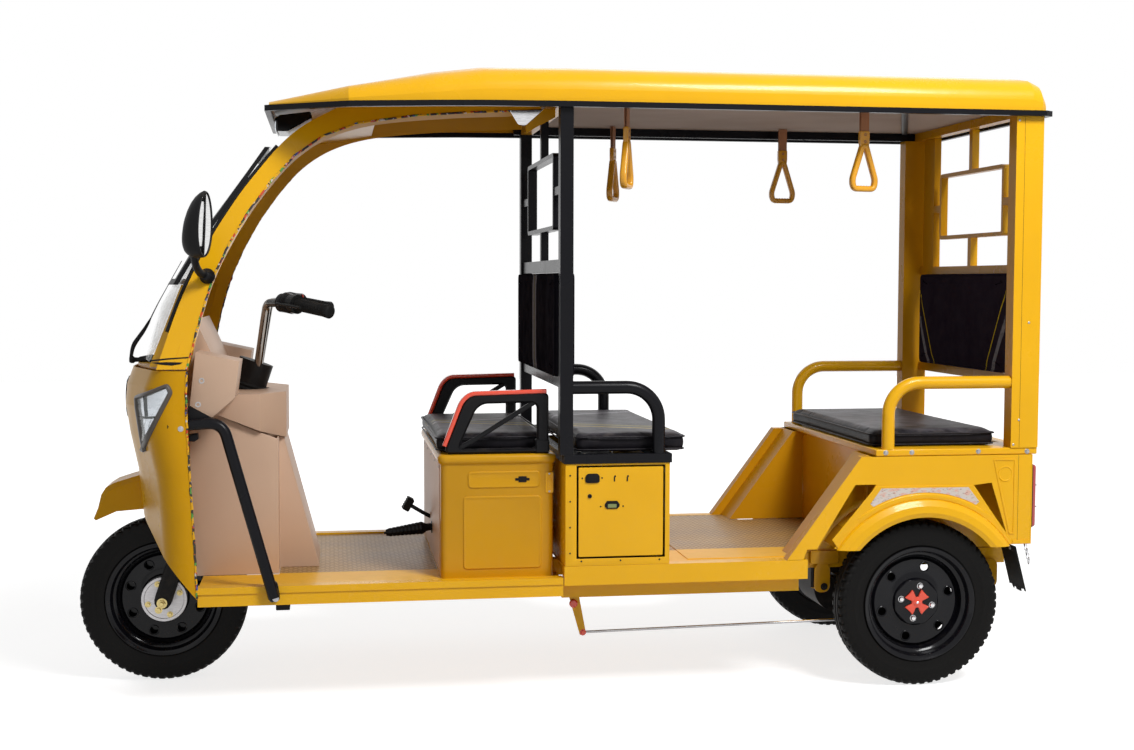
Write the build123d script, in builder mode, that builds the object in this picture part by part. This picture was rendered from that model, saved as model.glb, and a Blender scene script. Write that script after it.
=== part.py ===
from build123d import *
import os
from math import cos, radians, sin

os.makedirs("parts", exist_ok=True)

# Electric three-wheeled passenger rickshaw, mm. X runs to the nose, Y to the left
# side and Z up. The origin is on the ground under the middle of the vehicle.
# Lengths called "aft" are measured backwards from the front axle.

# Driving dimensions
front_axle_x = 1190
wheelbase = 2252
track = 800
wheel_radius = 250
body_half_width = 466
front_floor_z = 358
rear_floor_z = 396
sheet = 3
hoop_diameter = 38
rake = 18.5
steer_foot_aft = 40
through = 600


def aft(distance):
    return front_axle_x - distance


def mirrored_span(span, side):
    return tuple(sorted((side * span[0], side * span[1])))


def block(aft_span, y_span, z_span, mode=Mode.ADD):
    middle = (aft(sum(aft_span) / 2), sum(y_span) / 2, sum(z_span) / 2)
    with Locations(middle):
        Box(aft_span[1] - aft_span[0], y_span[1] - y_span[0], z_span[1] - z_span[0], mode=mode)


# Boxes from rows of (aft from, aft to, y from, y to, z from, z to)
def blocks(rows, mode=Mode.ADD):
    for aft_from, aft_to, y_from, y_to, z_from, z_to in rows:
        block((aft_from, aft_to), (y_from, y_to), (z_from, z_to), mode)


# The same rows, made on both sides
def paired_blocks(rows, mode=Mode.ADD):
    for aft_from, aft_to, y_from, y_to, z_from, z_to in rows:
        for side in (1, -1):
            block((aft_from, aft_to), mirrored_span((y_from, y_to), side), (z_from, z_to), mode)


def outline_face(plane, points, bend=0):
    with BuildSketch(plane) as profile:
        with BuildLine():
            if bend:
                FilletPolyline(*points, radius=bend, close=True)
            else:
                Polyline(*points, close=True)
        make_face()
    return profile.sketch


# Plate cut to a side-view outline of (aft, z) points
def side_plate(outline, y_span, bend=0, mode=Mode.ADD):
    points = [(aft(distance), z) for distance, z in outline]
    face = outline_face(Plane.XZ.offset(-y_span[1]), points, bend)
    extrude(face, amount=y_span[1] - y_span[0], mode=mode)


# Plate cut to a rear-view outline of (y, z) points
def cross_plate(outline, aft_span, bend=0, mode=Mode.ADD):
    face = outline_face(Plane.YZ.offset(aft(aft_span[1])), outline, bend)
    extrude(face, amount=aft_span[1] - aft_span[0], mode=mode)


# Plate cut to a plan outline of (aft, y) points
def plan_plate(outline, z_span, bend=0, mode=Mode.ADD):
    points = [(aft(distance), y) for distance, y in outline]
    face = outline_face(Plane.XY.offset(z_span[0]), points, bend)
    extrude(face, amount=z_span[1] - z_span[0], mode=mode)


def rectangle(first_span, second_span):
    return [
        (first_span[0], second_span[0]),
        (first_span[1], second_span[0]),
        (first_span[1], second_span[1]),
        (first_span[0], second_span[1]),
    ]


# Round tube along (aft, y, z) points, bent to one radius
def tube(route, diameter, bend=0, mode=Mode.ADD):
    points = [(aft(distance), y, z) for distance, y, z in route]
    with BuildLine() as path:
        if bend:
            FilletPolyline(*points, radius=bend)
        else:
            Polyline(*points)
    with BuildSketch(path.line ^ 0) as section:
        Circle(diameter / 2)
    sweep(section.sketch, path=path.line, mode=mode)


# The same tube on both sides
def paired_tube(route, diameter, bend=0):
    for side in (1, -1):
        tube([(distance, side * y, z) for distance, y, z in route], diameter, bend)


# Cylinder across the vehicle, about a place given as (aft, y, z)
def cross_cylinder(place, radius, length, mode=Mode.ADD):
    with Locations(Location((aft(place[0]), place[1], place[2]), (90, 0, 0))):
        Cylinder(radius, length, mode=mode)


def save(piece, name):
    piece.part.label = name
    export_step(piece.part, f"parts/{name}.step")


# Steering axis: it leans back and passes just behind the front axle
steering_plane = Plane(
    origin=(aft(steer_foot_aft), 0, wheel_radius),
    x_dir=(cos(radians(rake)), 0, sin(radians(rake))),
    z_dir=(-sin(radians(rake)), 0, cos(radians(rake))),
)


# Point on the steering axis as (aft, y, z)
def head_point(height, forward=0, left=0):
    point = steering_plane.from_local_coords((forward, left, height))
    return (front_axle_x - point.X, point.Y, point.Z)


# Round bar along the steering axis between two heights
def head_bar(radius, low, high, mode=Mode.ADD):
    with BuildSketch(steering_plane.offset(low)) as section:
        Circle(radius)
    extrude(section.sketch, amount=high - low, mode=mode)


# Chassis: side rails, cross members and the neck that carries the head tube
rail_rows = [
    (360, 1165, 270, 310, 312, 352),
    (1147, 1165, 270, 310, 312, 391),
    (1165, 2580, 270, 310, 343, 391),
    (1165, 1880, 380, 420, 297, 339),
]
cross_member_rows = [
    (360, 400, -424, 424, 312, 352),
    (760, 800, -424, 424, 312, 352),
    (1125, 1165, -424, 424, 312, 352),
    (1480, 1520, -424, 424, 341, 391),
    (1840, 1880, -424, 424, 341, 391),
    (2060, 2100, -310, 310, 343, 391),
    (2540, 2580, -310, 310, 343, 391),
]
neck_diameter = 44
neck_top = head_point(420, forward=-10)
neck_foot = (380, 0, 330)
head_tube_radius = 26
head_bore_radius = 18
head_tube_low = 360
head_tube_high = 540
with BuildPart() as chassis_frame:
    paired_blocks(rail_rows)
    blocks(cross_member_rows)
    tube([neck_top, neck_foot], neck_diameter)
    head_bar(head_tube_radius, head_tube_low, head_tube_high)
    head_bar(head_bore_radius, head_tube_low - 1, head_tube_high + 1, mode=Mode.SUBTRACT)
save(chassis_frame, "chassis_frame")

# Front floor: chequer plate cut out round the wheel and the neck, with folded sills
sill_inner_y = 426
front_floor_aft = (135, 1123)
front_floor_cut_rows = [
    (130, 352, -255, 255, 340, 370),
    (350, 420, -40, 40, 340, 370),
]
front_sill_rows = [
    (135, 1163, 426, 462, 310, 345),
    (135, 1163, 426, 466, 345, 364),
]
with BuildPart() as front_floor:
    block(front_floor_aft, (-sill_inner_y, sill_inner_y), (front_floor_z - sheet, front_floor_z))
    blocks(front_floor_cut_rows, mode=Mode.SUBTRACT)
    paired_blocks(front_sill_rows)
save(front_floor, "front_floor")

# Rear floor: chequer plate between folded sills, narrower between the wheel wells
foot_plate_outline = [
    (1545, -400),
    (1861, -400),
    (1861, -300),
    (2095, -300),
    (2095, 300),
    (1861, 300),
    (1861, 400),
    (1545, 400),
]
rear_floor_rows = [
    (1166, 1893, -426, 426, 393, 396),
    (1893, 2580, -312, 312, 393, 396),
]
rear_sill_rows = [(1166, 1893, 426, 466, 341, 397)]
with BuildPart() as rear_floor:
    blocks(rear_floor_rows)
    plan_plate(foot_plate_outline, (rear_floor_z - 1, rear_floor_z + 2))
    paired_blocks(rear_sill_rows)
save(rear_floor, "rear_floor")

# Nose cowl: a sheet shell lofted up through plan sections, open behind and below.
# Each row is (z, aft of the front face, aft of the rear edge).
cowl_sections = [
    (968, -66, 113),
    (920, -84, 111),
    (862, -90, 110),
    (778, -78, 112),
    (670, -56, 118),
    (545, -44, 124),
    (330, -36, 134),
]
cowl_shoulder_y = 200
cowl_corner_depth = 100
cowl_bends = [95, 420, 420, 95]


def cowl_section(plane_z, front_aft, rear_aft, inset):
    half = body_half_width - inset
    front = front_aft + inset
    corner = front + cowl_corner_depth
    points = [
        (aft(rear_aft), -half),
        (aft(corner), -half),
        (aft(front), -cowl_shoulder_y),
        (aft(front), cowl_shoulder_y),
        (aft(corner), half),
        (aft(rear_aft), half),
    ]
    with BuildSketch(Plane.XY.offset(plane_z)) as section:
        with BuildLine():
            FilletPolyline(*points, radius=cowl_bends)
            Line(points[-1], points[0])
        make_face()
    return section.sketch


# A solid to the cowl's shape, smaller by an inset and longer behind by a tail
def cowl_solid(inset, tail, mode):
    sections = [cowl_section(z, front, rear + tail, inset) for z, front, rear in cowl_sections]
    return loft(sections, ruled=True, mode=mode)


# The lower edge follows the turning wheel
cowl_lower_edge = [(-300, 200), (-300, 600), (-88, 600), (-22, 518), (134, 331), (134, 200)]
cowl_tail = 40
with BuildPart() as nose_cowl:
    cowl_solid(0, 0, Mode.ADD)
    add(cowl_solid(sheet, cowl_tail, Mode.PRIVATE), mode=Mode.SUBTRACT)
    side_plate(cowl_lower_edge, (-through, through), mode=Mode.SUBTRACT)
save(nose_cowl, "nose_cowl")

# Screen frame: two leaning side arches that sweep back under the roof edge.
# The outline is in (aft, z), front edge first, then over the top and back down.
arch_foot_z = 972
arch_foot_y = 452
arch_lean = radians(14.8)
arch_depth = 46
arch_front = [
    (31, 972),
    (64, 1075),
    (90, 1150),
    (116, 1213),
    (145, 1275),
    (179, 1342),
    (220, 1410),
    (264, 1476),
    (313, 1540),
    (364, 1602),
    (410, 1646),
    (464, 1682),
]
arch_top = [
    (464, 1682),
    (560, 1735),
    (760, 1785),
    (960, 1815),
    (1127, 1820),
    (1127, 1722),
]
arch_rear = [
    (1127, 1722),
    (919, 1712),
    (752, 1699),
    (588, 1673),
    (490, 1635),
    (410, 1578),
    (338, 1497),
    (274, 1407),
    (222, 1315),
    (180, 1222),
    (147, 1112),
    (127, 1030),
    (112, 972),
]
# Feet that spread the arches forward round the glass, as plan outlines at two heights
foot_rows = [
    (1205, [(91, 292), (91, 340), (150, 388), (146, 345), (113, 318), (96, 296)]),
    (977, [(6, 345), (6, 392), (75, 452), (75, 404), (46, 368), (26, 342)]),
]
foot_trim_row = (-100, 200, -500, 500, 900, 968.5)
foot_bar_row = (31, 84, -420, 420, 972, 990)
deck_outline = [
    (84, -430),
    (30, -405),
    (0, -335),
    (-36, -230),
    (-54, -140),
    (-54, 140),
    (-36, 230),
    (0, 335),
    (30, 405),
    (84, 430),
]
deck_z = (968.5, 977)
visor_outline = [(470, 1652), (470, 1668), (640, 1696), (640, 1680)]
visor_half = 250


def arch_point(distance, z):
    return (aft(distance), (z - arch_foot_z) / cos(arch_lean))


with BuildPart() as screen_frame:
    arch_plane = Plane(
        origin=(0, arch_foot_y, arch_foot_z),
        x_dir=(1, 0, 0),
        z_dir=(0, -cos(arch_lean), -sin(arch_lean)),
    )
    with BuildSketch(arch_plane) as arch_profile:
        with BuildLine():
            Spline(*[arch_point(*point) for point in arch_front])
            Polyline(*[arch_point(*point) for point in arch_top])
            Spline(*[arch_point(*point) for point in arch_rear])
            Line(arch_point(*arch_rear[-1]), arch_point(*arch_front[0]))
        make_face()
    extrude(arch_profile.sketch, amount=arch_depth)
    foot_faces = [
        outline_face(Plane.XY.offset(z), [(aft(distance), y) for distance, y in outline])
        for z, outline in foot_rows
    ]
    loft(foot_faces, ruled=True)
    mirror(about=Plane.XZ)
    blocks([foot_trim_row], mode=Mode.SUBTRACT)
    blocks([foot_bar_row])
    plan_plate(deck_outline, deck_z)
    side_plate(visor_outline, (-visor_half, visor_half))
save(screen_frame, "screen_frame")

# Windscreen: one bowed sheet of glass in front of the arches, in a black sash.
# Each row is (z, aft of its sides, half width, how far the middle bows forward).
glass_rows = [
    (1600, 338, 276, 9),
    (1366, 179, 336, 34),
    (1205, 83, 345, 42),
    (1150, 63, 352, 57),
    (992, 4, 385, 41),
]
glass_thickness = 5
sash_gap = 0.5
sash_depth = 14
sash_row_count = 3
sash_opening_outline = [(-318, 1222), (318, 1222), (246, 1572), (-246, 1572)]
sash_opening_aft = (-110, 600)


def bowed_section(z, side_aft, half, bow, depth):
    front = [(aft(side_aft), -half), (aft(side_aft - bow), 0), (aft(side_aft), half)]
    back = [(x - depth, y) for x, y in front]
    with BuildSketch(Plane.XY.offset(z)) as section:
        with BuildLine():
            ThreePointArc(*front)
            ThreePointArc(*back)
            Line(front[0], back[0])
            Line(front[2], back[2])
        make_face()
    return section.sketch


with BuildPart() as windscreen:
    loft([bowed_section(*row, glass_thickness) for row in glass_rows], ruled=True)
save(windscreen, "windscreen")

with BuildPart() as windscreen_sash:
    sash_sections = [
        bowed_section(z, side_aft - sash_depth - sash_gap, half, bow, sash_depth)
        for z, side_aft, half, bow in glass_rows[:sash_row_count]
    ]
    loft(sash_sections, ruled=True)
    cross_plate(sash_opening_outline, sash_opening_aft, mode=Mode.SUBTRACT)
save(windscreen_sash, "windscreen_sash")

# Front mudguard: a blunt hood over the wheel, fixed to the cowl
guard_outline = [
    (-196, 508),
    (-183, 540),
    (-175, 578),
    (-162, 598),
    (-141, 611),
    (-100, 624),
    (-62, 635),
    (-48, 534),
    (-130, 528),
    (-190, 502),
]
guard_inside = [
    (-185, 498),
    (-172, 541),
    (-165, 572),
    (-154, 588),
    (-137, 600),
    (-98, 612),
    (-62, 622),
    (-40, 622),
    (-40, 498),
]
guard_half = 86
guard_inside_half = 80
guard_edge_z = 560
guard_edge_bend = 14
with BuildPart() as front_mudguard:
    side_plate(guard_outline, (-guard_half, guard_half))
    crown_edges = [
        edge
        for edge in front_mudguard.edges()
        if abs(abs(edge.center().Y) - guard_half) < 1 and edge.center().Z > guard_edge_z
        and edge.center().X > aft(-64)
    ]
    chamfer(crown_edges, guard_edge_bend)
    side_plate(guard_inside, (-guard_inside_half, guard_inside_half), mode=Mode.SUBTRACT)
save(front_mudguard, "front_mudguard")

# Wraparound headlamps: black bezels with clear lenses, let into the cowl corners
lamp_outline = [(-34, 899), (83, 939), (97, 921), (60, 838), (-12, 722), (-26, 728)]
lamp_bend = 10
lamp_proud = 6
lamp_gap = 0.5
lamp_inner_rows = [(-300, 300, -260, 260, 300, 1000)]
with BuildPart() as headlamps:
    cowl_solid(-lamp_proud, 0, Mode.ADD)
    blocks(lamp_inner_rows, mode=Mode.SUBTRACT)
    add(cowl_solid(-lamp_gap, cowl_tail, Mode.PRIVATE), mode=Mode.SUBTRACT)
    side_plate(lamp_outline, (-through, through), bend=lamp_bend, mode=Mode.INTERSECT)
save(headlamps, "headlamps")

# Blank round plate on the nose
nose_plate_z = 862
nose_plate_radius = 68
nose_plate_aft = -90.5
nose_plate_depth = 12
with BuildPart() as nose_plate:
    with BuildSketch(Plane.YZ.offset(aft(nose_plate_aft))):
        with Locations((0, nose_plate_z)):
            Circle(nose_plate_radius)
    extrude(amount=nose_plate_depth)
save(nose_plate, "nose_plate")

# Roof: crowned shell with rounded corners, falling to a visor over the windscreen.
# Each row is (aft, half width, bottom z, side top z, crown z).
roof_sections = [
    (338, 326, 1712.2, 1716, 1730),
    (560, 464, 1713.2, 1722, 1787),
    (800, 474, 1719.4, 1742, 1838),
    (940, 474, 1722.2, 1754, 1856),
    (1200, 474, 1724.2, 1758, 1860),
    (2570, 474, 1724.2, 1756, 1859),
    (2600, 470, 1724.2, 1748, 1842),
    (2614, 460, 1724.2, 1738, 1800),
]
roof_wall = 6
roof_side_wall = 0.6
roof_inside_aft = (344, 2608)
roof_inside_drop = 5
# The corner of each section as (share of the half width, share of the height)
roof_corner = (0.90, 0.59)
roof_corner_middle = (0.97, 0.62)


def roof_section(distance, half, bottom, side_top, crown, inset):
    inner_half = half - inset
    inner_crown = crown - inset
    inner_side = side_top - inset * roof_side_wall
    corner = (inner_half * roof_corner[0], inner_side + (inner_crown - inner_side) * roof_corner[1])
    middle_z = inner_side + (corner[1] - inner_side) * roof_corner_middle[1]
    middle = (inner_half * roof_corner_middle[0], middle_z)
    with BuildSketch(Plane.YZ.offset(aft(distance))) as section:
        with BuildLine():
            Line((-inner_half, bottom), (inner_half, bottom))
            Line((inner_half, bottom), (inner_half, inner_side))
            ThreePointArc((inner_half, inner_side), middle, corner)
            ThreePointArc(corner, (0, inner_crown), (-corner[0], corner[1]))
            ThreePointArc((-corner[0], corner[1]), (-middle[0], middle[1]), (-inner_half, inner_side))
            Line((-inner_half, inner_side), (-inner_half, bottom))
        make_face()
    return section.sketch


def clamped(value, span):
    return sorted((span[0], value, span[1]))[1]


with BuildPart() as roof_shell:
    loft([roof_section(*row, 0) for row in roof_sections], ruled=True)
    roof_hollow_sections = [
        roof_section(
            clamped(distance, roof_inside_aft),
            half,
            bottom - roof_inside_drop,
            side_top,
            crown,
            roof_wall,
        )
        for distance, half, bottom, side_top, crown in roof_sections
    ]
    add(loft(roof_hollow_sections, ruled=True, mode=Mode.PRIVATE), mode=Mode.SUBTRACT)
save(roof_shell, "roof_shell")

# Black bead round the roof's lower edge; each row is (aft, outer half, inner half, bottom z)
bead_rows = [
    (326, 338, 322, 1696),
    (560, 480, 462, 1697),
    (800, 485, 469.5, 1703.2),
    (940, 485, 469.5, 1706),
    (1200, 485, 469.5, 1708),
    (2606, 485, 469.5, 1708),
    (2630, 470, 456, 1708),
]
bead_height = 16
bead_inside_aft = (342, 2615)
bead_inside_over = 9


def bead_section(distance, half, bottom, top):
    with BuildSketch(Plane.YZ.offset(aft(distance))) as section:
        with Locations((0, (bottom + top) / 2)):
            Rectangle(2 * half, top - bottom)
    return section.sketch


with BuildPart() as roof_bead:
    bead_sections = [
        bead_section(distance, outer, low, low + bead_height) for distance, outer, inner, low in bead_rows
    ]
    loft(bead_sections, ruled=True)
    bead_hollow_sections = [
        bead_section(
            clamped(distance, bead_inside_aft),
            inner,
            low - bead_inside_over,
            low + bead_height + bead_inside_over,
        )
        for distance, outer, inner, low in bead_rows
    ]
    add(loft(bead_hollow_sections, ruled=True, mode=Mode.PRIVATE), mode=Mode.SUBTRACT)
save(roof_bead, "roof_bead")

# Rails inside the bead, with cross rails, and the lining that they hold
roof_rail_rows = [(1129, 2600, 428, 463, 1714, 1740)]
roof_cross_rows = [
    (1152, 1190, -430, 430, 1714, 1740),
    (2560, 2598, -430, 430, 1714, 1740),
]
lining_row = (1140, 2596, -455, 455, 1741, 1745)
with BuildPart() as roof_frame:
    paired_blocks(roof_rail_rows)
    blocks(roof_cross_rows)
save(roof_frame, "roof_frame")

with BuildPart() as roof_lining:
    blocks([lining_row])
save(roof_lining, "roof_lining")

# Lamp slung under the visor
roof_lamp_outline = [(346, 1664), (344, 1695), (352, 1712), (452, 1726), (458, 1706), (380, 1664)]
roof_lamp_half = 85
roof_lamp_bend = 6
with BuildPart() as roof_lamp:
    side_plate(roof_lamp_outline, (-roof_lamp_half, roof_lamp_half), bend=roof_lamp_bend)
save(roof_lamp, "roof_lamp")

# Mirrors on bent stalks from the arches. The oval head faces back and a little outward;
# each bowl row is (depth ahead of the face, width share, height share, drop).
mirror_centre = (176, 541.5, 1368)
mirror_half = (47, 90)
mirror_turn = radians(14)
mirror_tilt = 0.04
mirror_bowl_rows = [
    (0, 0.97, 0.97, 0),
    (6, 1.0, 1.0, 0),
    (26, 0.96, 0.93, 8),
    (44, 0.80, 0.74, 20),
    (58, 0.48, 0.42, 34),
]
mirror_stalk = [(166, 396, 1229), (146, 450, 1243), (143, 520, 1296)]
mirror_stalk_diameter = 16
mirror_stalk_bend = 20
with BuildPart() as mirrors:
    tube(mirror_stalk, mirror_stalk_diameter, bend=mirror_stalk_bend)
    mirror_plane = Plane(
        origin=(aft(mirror_centre[0]), mirror_centre[1], mirror_centre[2]),
        x_dir=(sin(mirror_turn), cos(mirror_turn), 0),
        z_dir=(cos(mirror_turn), -sin(mirror_turn), mirror_tilt),
    )
    bowl_faces = []
    for depth, width_share, height_share, drop in mirror_bowl_rows:
        with BuildSketch(mirror_plane.offset(depth)) as bowl_section:
            with Locations((0, -drop)):
                Ellipse(mirror_half[0] * width_share, mirror_half[1] * height_share)
        bowl_faces.append(bowl_section.sketch)
    loft(bowl_faces)
    mirror(about=Plane.XZ)
save(mirrors, "mirrors")

# Wiper: spindle through the screen foot, arm and blade parked up the glass
wiper_y = 130
wiper_spindle = [(0, wiper_y, 984), (-76, wiper_y, 984)]
wiper_spindle_diameter = 12
wiper_arm = [
    (-70, wiper_y, 979),
    (-66, wiper_y, 1010),
    (-26, wiper_y, 1105),
    (18, wiper_y, 1208),
    (58, wiper_y, 1290),
]
wiper_arm_diameter = 9
with BuildPart() as wiper:
    tube(wiper_spindle, wiper_spindle_diameter)
    tube(wiper_arm, wiper_arm_diameter)
save(wiper, "wiper")

# Dashboard: two side pods joined by a collar round the steering tunnel
pod_outline = [(135, 1018), (254, 992), (240, 890), (178, 836), (118, 870)]
pod_hollow = [(60, 1013), (139, 1013), (248, 988), (235, 892), (177, 841), (124, 872), (60, 872)]
pod_y = (262, 430)
pod_hollow_y = (270, 425)
binnacle_outline = [(92, 985), (121, 1105), (176, 985), (172, 880), (96, 880)]
binnacle_hollow = [(80, 700), (80, 984), (121, 1095), (170, 983), (166, 700)]
binnacle_half = 262
binnacle_hollow_half = 255
collar_z = (752, 888)
collar_aft = (96, 300, 374)
collar_half = 268
collar_nose_half = 150
collar_under_cut = [(90, 700), (90, 830), (180, 830), (400, 740), (400, 700)]
dash_wall = 4
column_hole_radius = 62
column_hole_heights = (480, 880)


def collar_outline(inset):
    half = collar_half - inset
    nose_half = collar_nose_half - inset * 0.4
    front, shoulder, rear = collar_aft
    return [
        (front, -half),
        (shoulder - inset, -half),
        (rear - inset, -nose_half),
        (rear - inset, nose_half),
        (shoulder - inset, half),
        (front, half),
    ]


with BuildPart() as dashboard:
    plan_plate(collar_outline(0), collar_z, bend=1)
    side_plate(collar_under_cut, (-through, through), mode=Mode.SUBTRACT)
    for side in (1, -1):
        side_plate(pod_outline, mirrored_span(pod_y, side))
    side_plate(binnacle_outline, (-binnacle_half, binnacle_half))
    collar_inside_z = (collar_under_cut[0][1], collar_z[1] - dash_wall)
    plan_plate(collar_outline(dash_wall), collar_inside_z, bend=1, mode=Mode.SUBTRACT)
    side_plate(binnacle_hollow, (-binnacle_hollow_half, binnacle_hollow_half), mode=Mode.SUBTRACT)
    for side in (1, -1):
        side_plate(pod_hollow, mirrored_span(pod_hollow_y, side), mode=Mode.SUBTRACT)
    head_bar(column_hole_radius, *column_hole_heights, mode=Mode.SUBTRACT)
save(dashboard, "dashboard")

# Leg shield: housing over the front wheel and the sloping steering tunnel.
# It stands up inside the collar of the dashboard.
shield_wall = 4
shield_top = 836
shield_half = 253
tunnel_half = 150
shield_aft = (100, 352)
tunnel_outline = [(300, 358), (467, 358), (467, 366), (368, 742), (368, 836), (300, 836)]
tunnel_hollow = [(300, 338), (463, 338), (463, 366), (364, 741), (364, 832), (300, 832)]
shield_top_cut = [
    (90, 836),
    (176, 836),
    (250, 797),
    (300, 776),
    (366, 751),
    (420, 730),
    (420, 900),
    (90, 900),
]
shield_hole_radius = 34
shield_hole_heights = (500, 700)
with BuildPart() as leg_shield:
    block(shield_aft, (-shield_half, shield_half), (front_floor_z, shield_top))
    side_plate(tunnel_outline, (-tunnel_half, tunnel_half))
    block(
        (shield_aft[0] - shield_wall, shield_aft[1] - shield_wall),
        (shield_wall - shield_half, shield_half - shield_wall),
        (front_floor_z - shield_wall, shield_top - shield_wall),
        mode=Mode.SUBTRACT,
    )
    side_plate(
        tunnel_hollow, (shield_wall - tunnel_half, tunnel_half - shield_wall), mode=Mode.SUBTRACT
    )
    side_plate(shield_top_cut, (-through, through), mode=Mode.SUBTRACT)
    head_bar(shield_hole_radius, *shield_hole_heights, mode=Mode.SUBTRACT)
save(leg_shield, "leg_shield")

# Bent tube guards beside the driver's legs
guard_route = [(60, 440, 816), (207, 440, 822), (345, 485, 334)]
guard_diameter = 32
guard_bend = 45
with BuildPart() as leg_guards:
    paired_tube(guard_route, guard_diameter, bend=guard_bend)
save(leg_guards, "leg_guards")

# Steering: fork, stem, instrument drum and handlebar, all turning together.
# Each bar row is (diameter, bend, route of (aft, y, z) points).
fork_offset = 38
fork_half_spread = 82
fork_leg_radius = 22
fork_foot = -14
clamp_heights = (310, 335)
clamp_margin = (60, 50)
stem_radius = 14
drum_heights = (690, 760)
drum_radius = 52.5
bar_rows = [
    (25, 34, [(286, 36, 950), (318, 96, 1150), (372, 212, 1152)]),
    (56, 0, [(366, 199, 1152), (412, 252, 1148)]),
    (34, 0, [(405, 244, 1149), (506, 334, 1128)]),
    (9, 0, [(352, 236, 1150), (420, 322, 1140)]),
    (12, 0, [(352, 236, 1150), (385, 222, 1150)]),
]
with BuildPart() as steering:
    for side in (1, -1):
        with BuildSketch(steering_plane.offset(fork_foot)) as leg_section:
            with Locations((fork_offset, side * fork_half_spread)):
                Circle(fork_leg_radius)
        extrude(leg_section.sketch, amount=clamp_heights[1] - fork_foot)
    with BuildSketch(steering_plane.offset(clamp_heights[0])) as clamp_section:
        with Locations((fork_offset / 2, 0)):
            Rectangle(fork_offset + clamp_margin[0], 2 * fork_half_spread + clamp_margin[1])
    extrude(clamp_section.sketch, amount=clamp_heights[1] - clamp_heights[0])
    head_bar(stem_radius, clamp_heights[0], drum_heights[0] + 1)
    head_bar(drum_radius, *drum_heights)
    for diameter, bend, route in bar_rows:
        paired_tube(route, diameter, bend)
save(steering, "steering")

# Wheels turn on the Y axis; each profile row is (radius, y)
tyre_profile = [(155.2, 34), (170, 35.5), (182, 41), (208, 45), (232, 42), (245, 34), (250, 20)]
barrel_profile = [
    (149, -38),
    (168, -41),
    (168, -37),
    (154.7, -35),
    (154.7, 35),
    (168, 37),
    (168, 41),
    (149, 38),
]
# Rim rows are (name, axle's aft, y of the middle, y of the dish, hub radius, hub from, hub to)
wheel_y = track / 2
rim_rows = [
    ("front_rim", 0, 0, 2, 58, -48, 48),
    ("rear_rim_left", wheelbase, wheel_y, 8, 70, -52, 10),
    ("rear_rim_right", wheelbase, -wheel_y, -13, 70, -10, 52),
]
tyre_rows = [
    ("front_tyre", 0, 0),
    ("rear_tyre_left", wheelbase, wheel_y),
    ("rear_tyre_right", wheelbase, -wheel_y),
]
dish_radii = (16, 100, 150)
dish_fall = 14
dish_thickness = 5
bore_radius = 12
vent_circle_radius = 112
vent_radius = 13
vent_count = 6
rim_reach = 60


def ring_about(centre_aft, centre_y, profile, mode=Mode.ADD):
    origin = (aft(centre_aft), centre_y, wheel_radius)
    with BuildSketch(Plane(origin=origin, x_dir=(0, 0, 1), z_dir=(-1, 0, 0))) as section:
        with BuildLine():
            Polyline(*profile, close=True)
        make_face()
    revolve(section.sketch, axis=Axis(origin, (0, 1, 0)), mode=mode)


for name, centre_aft, centre_y in tyre_rows:
    with BuildPart() as tyre:
        outer = tyre_profile + [(radius, -y) for radius, y in reversed(tyre_profile)]
        ring_about(centre_aft, centre_y, outer)
    save(tyre, name)

for name, centre_aft, centre_y, dish, hub_radius, hub_from, hub_to in rim_rows:
    hub_reach, dish_edge, dish_rim = dish_radii
    dish_back = dish + dish_thickness
    dish_profile = [
        (hub_reach, dish),
        (dish_edge, dish),
        (dish_rim, dish - dish_fall),
        (dish_rim, dish_back - dish_fall),
        (dish_edge, dish_back),
        (hub_reach, dish_back),
    ]
    with BuildPart() as rim:
        ring_about(centre_aft, centre_y, barrel_profile)
        ring_about(centre_aft, centre_y, dish_profile)
        ring_about(centre_aft, centre_y, rectangle((bore_radius, hub_radius), (hub_from, hub_to)))
        vent_plane = Plane(
            origin=(aft(centre_aft), centre_y - rim_reach, wheel_radius),
            x_dir=(1, 0, 0),
            z_dir=(0, 1, 0),
        )
        with BuildSketch(vent_plane) as vents:
            with PolarLocations(vent_circle_radius, vent_count):
                Circle(vent_radius)
        extrude(vents.sketch, amount=2 * rim_reach, mode=Mode.SUBTRACT)
    save(rim, name)

# Four-lobed caps on the rear hubs
cap_out = 14
cap_depth = 9
cap_radius = 26
cap_lobe = (26, 24)
for side, name in ((1, "wheel_cap_left"), (-1, "wheel_cap_right")):
    with BuildPart() as wheel_cap:
        cap_origin = (aft(wheelbase), side * (wheel_y + cap_out), wheel_radius)
        with BuildSketch(Plane(origin=cap_origin, x_dir=(1, 0, 0), z_dir=(0, side, 0))) as cap_section:
            Circle(cap_radius)
            with PolarLocations(cap_radius, 4, start_angle=45):
                Rectangle(*cap_lobe)
        extrude(cap_section.sketch, amount=cap_depth)
    save(wheel_cap, name)

# Driver's seat box: four walls with pressed panels and a rolled lip
driver_box_rows = [
    (816, 1144, -400, 400, 358, 692),
    (810, 1150, -408, 408, 692, 718),
]
driver_box_hollow_row = (819, 1141, -397, 397, 300, 800)
driver_box_panel_rows = [
    (893, 1104, 396.9, 403, 619, 669),
    (879, 1109, 396.9, 403, 383, 597),
    (1120, 1143, 399, 410, 604, 662),
]
with BuildPart() as driver_seat_box:
    blocks(driver_box_rows)
    blocks([driver_box_hollow_row], mode=Mode.SUBTRACT)
    paired_blocks(driver_box_panel_rows)
save(driver_seat_box, "driver_seat_box")

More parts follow.
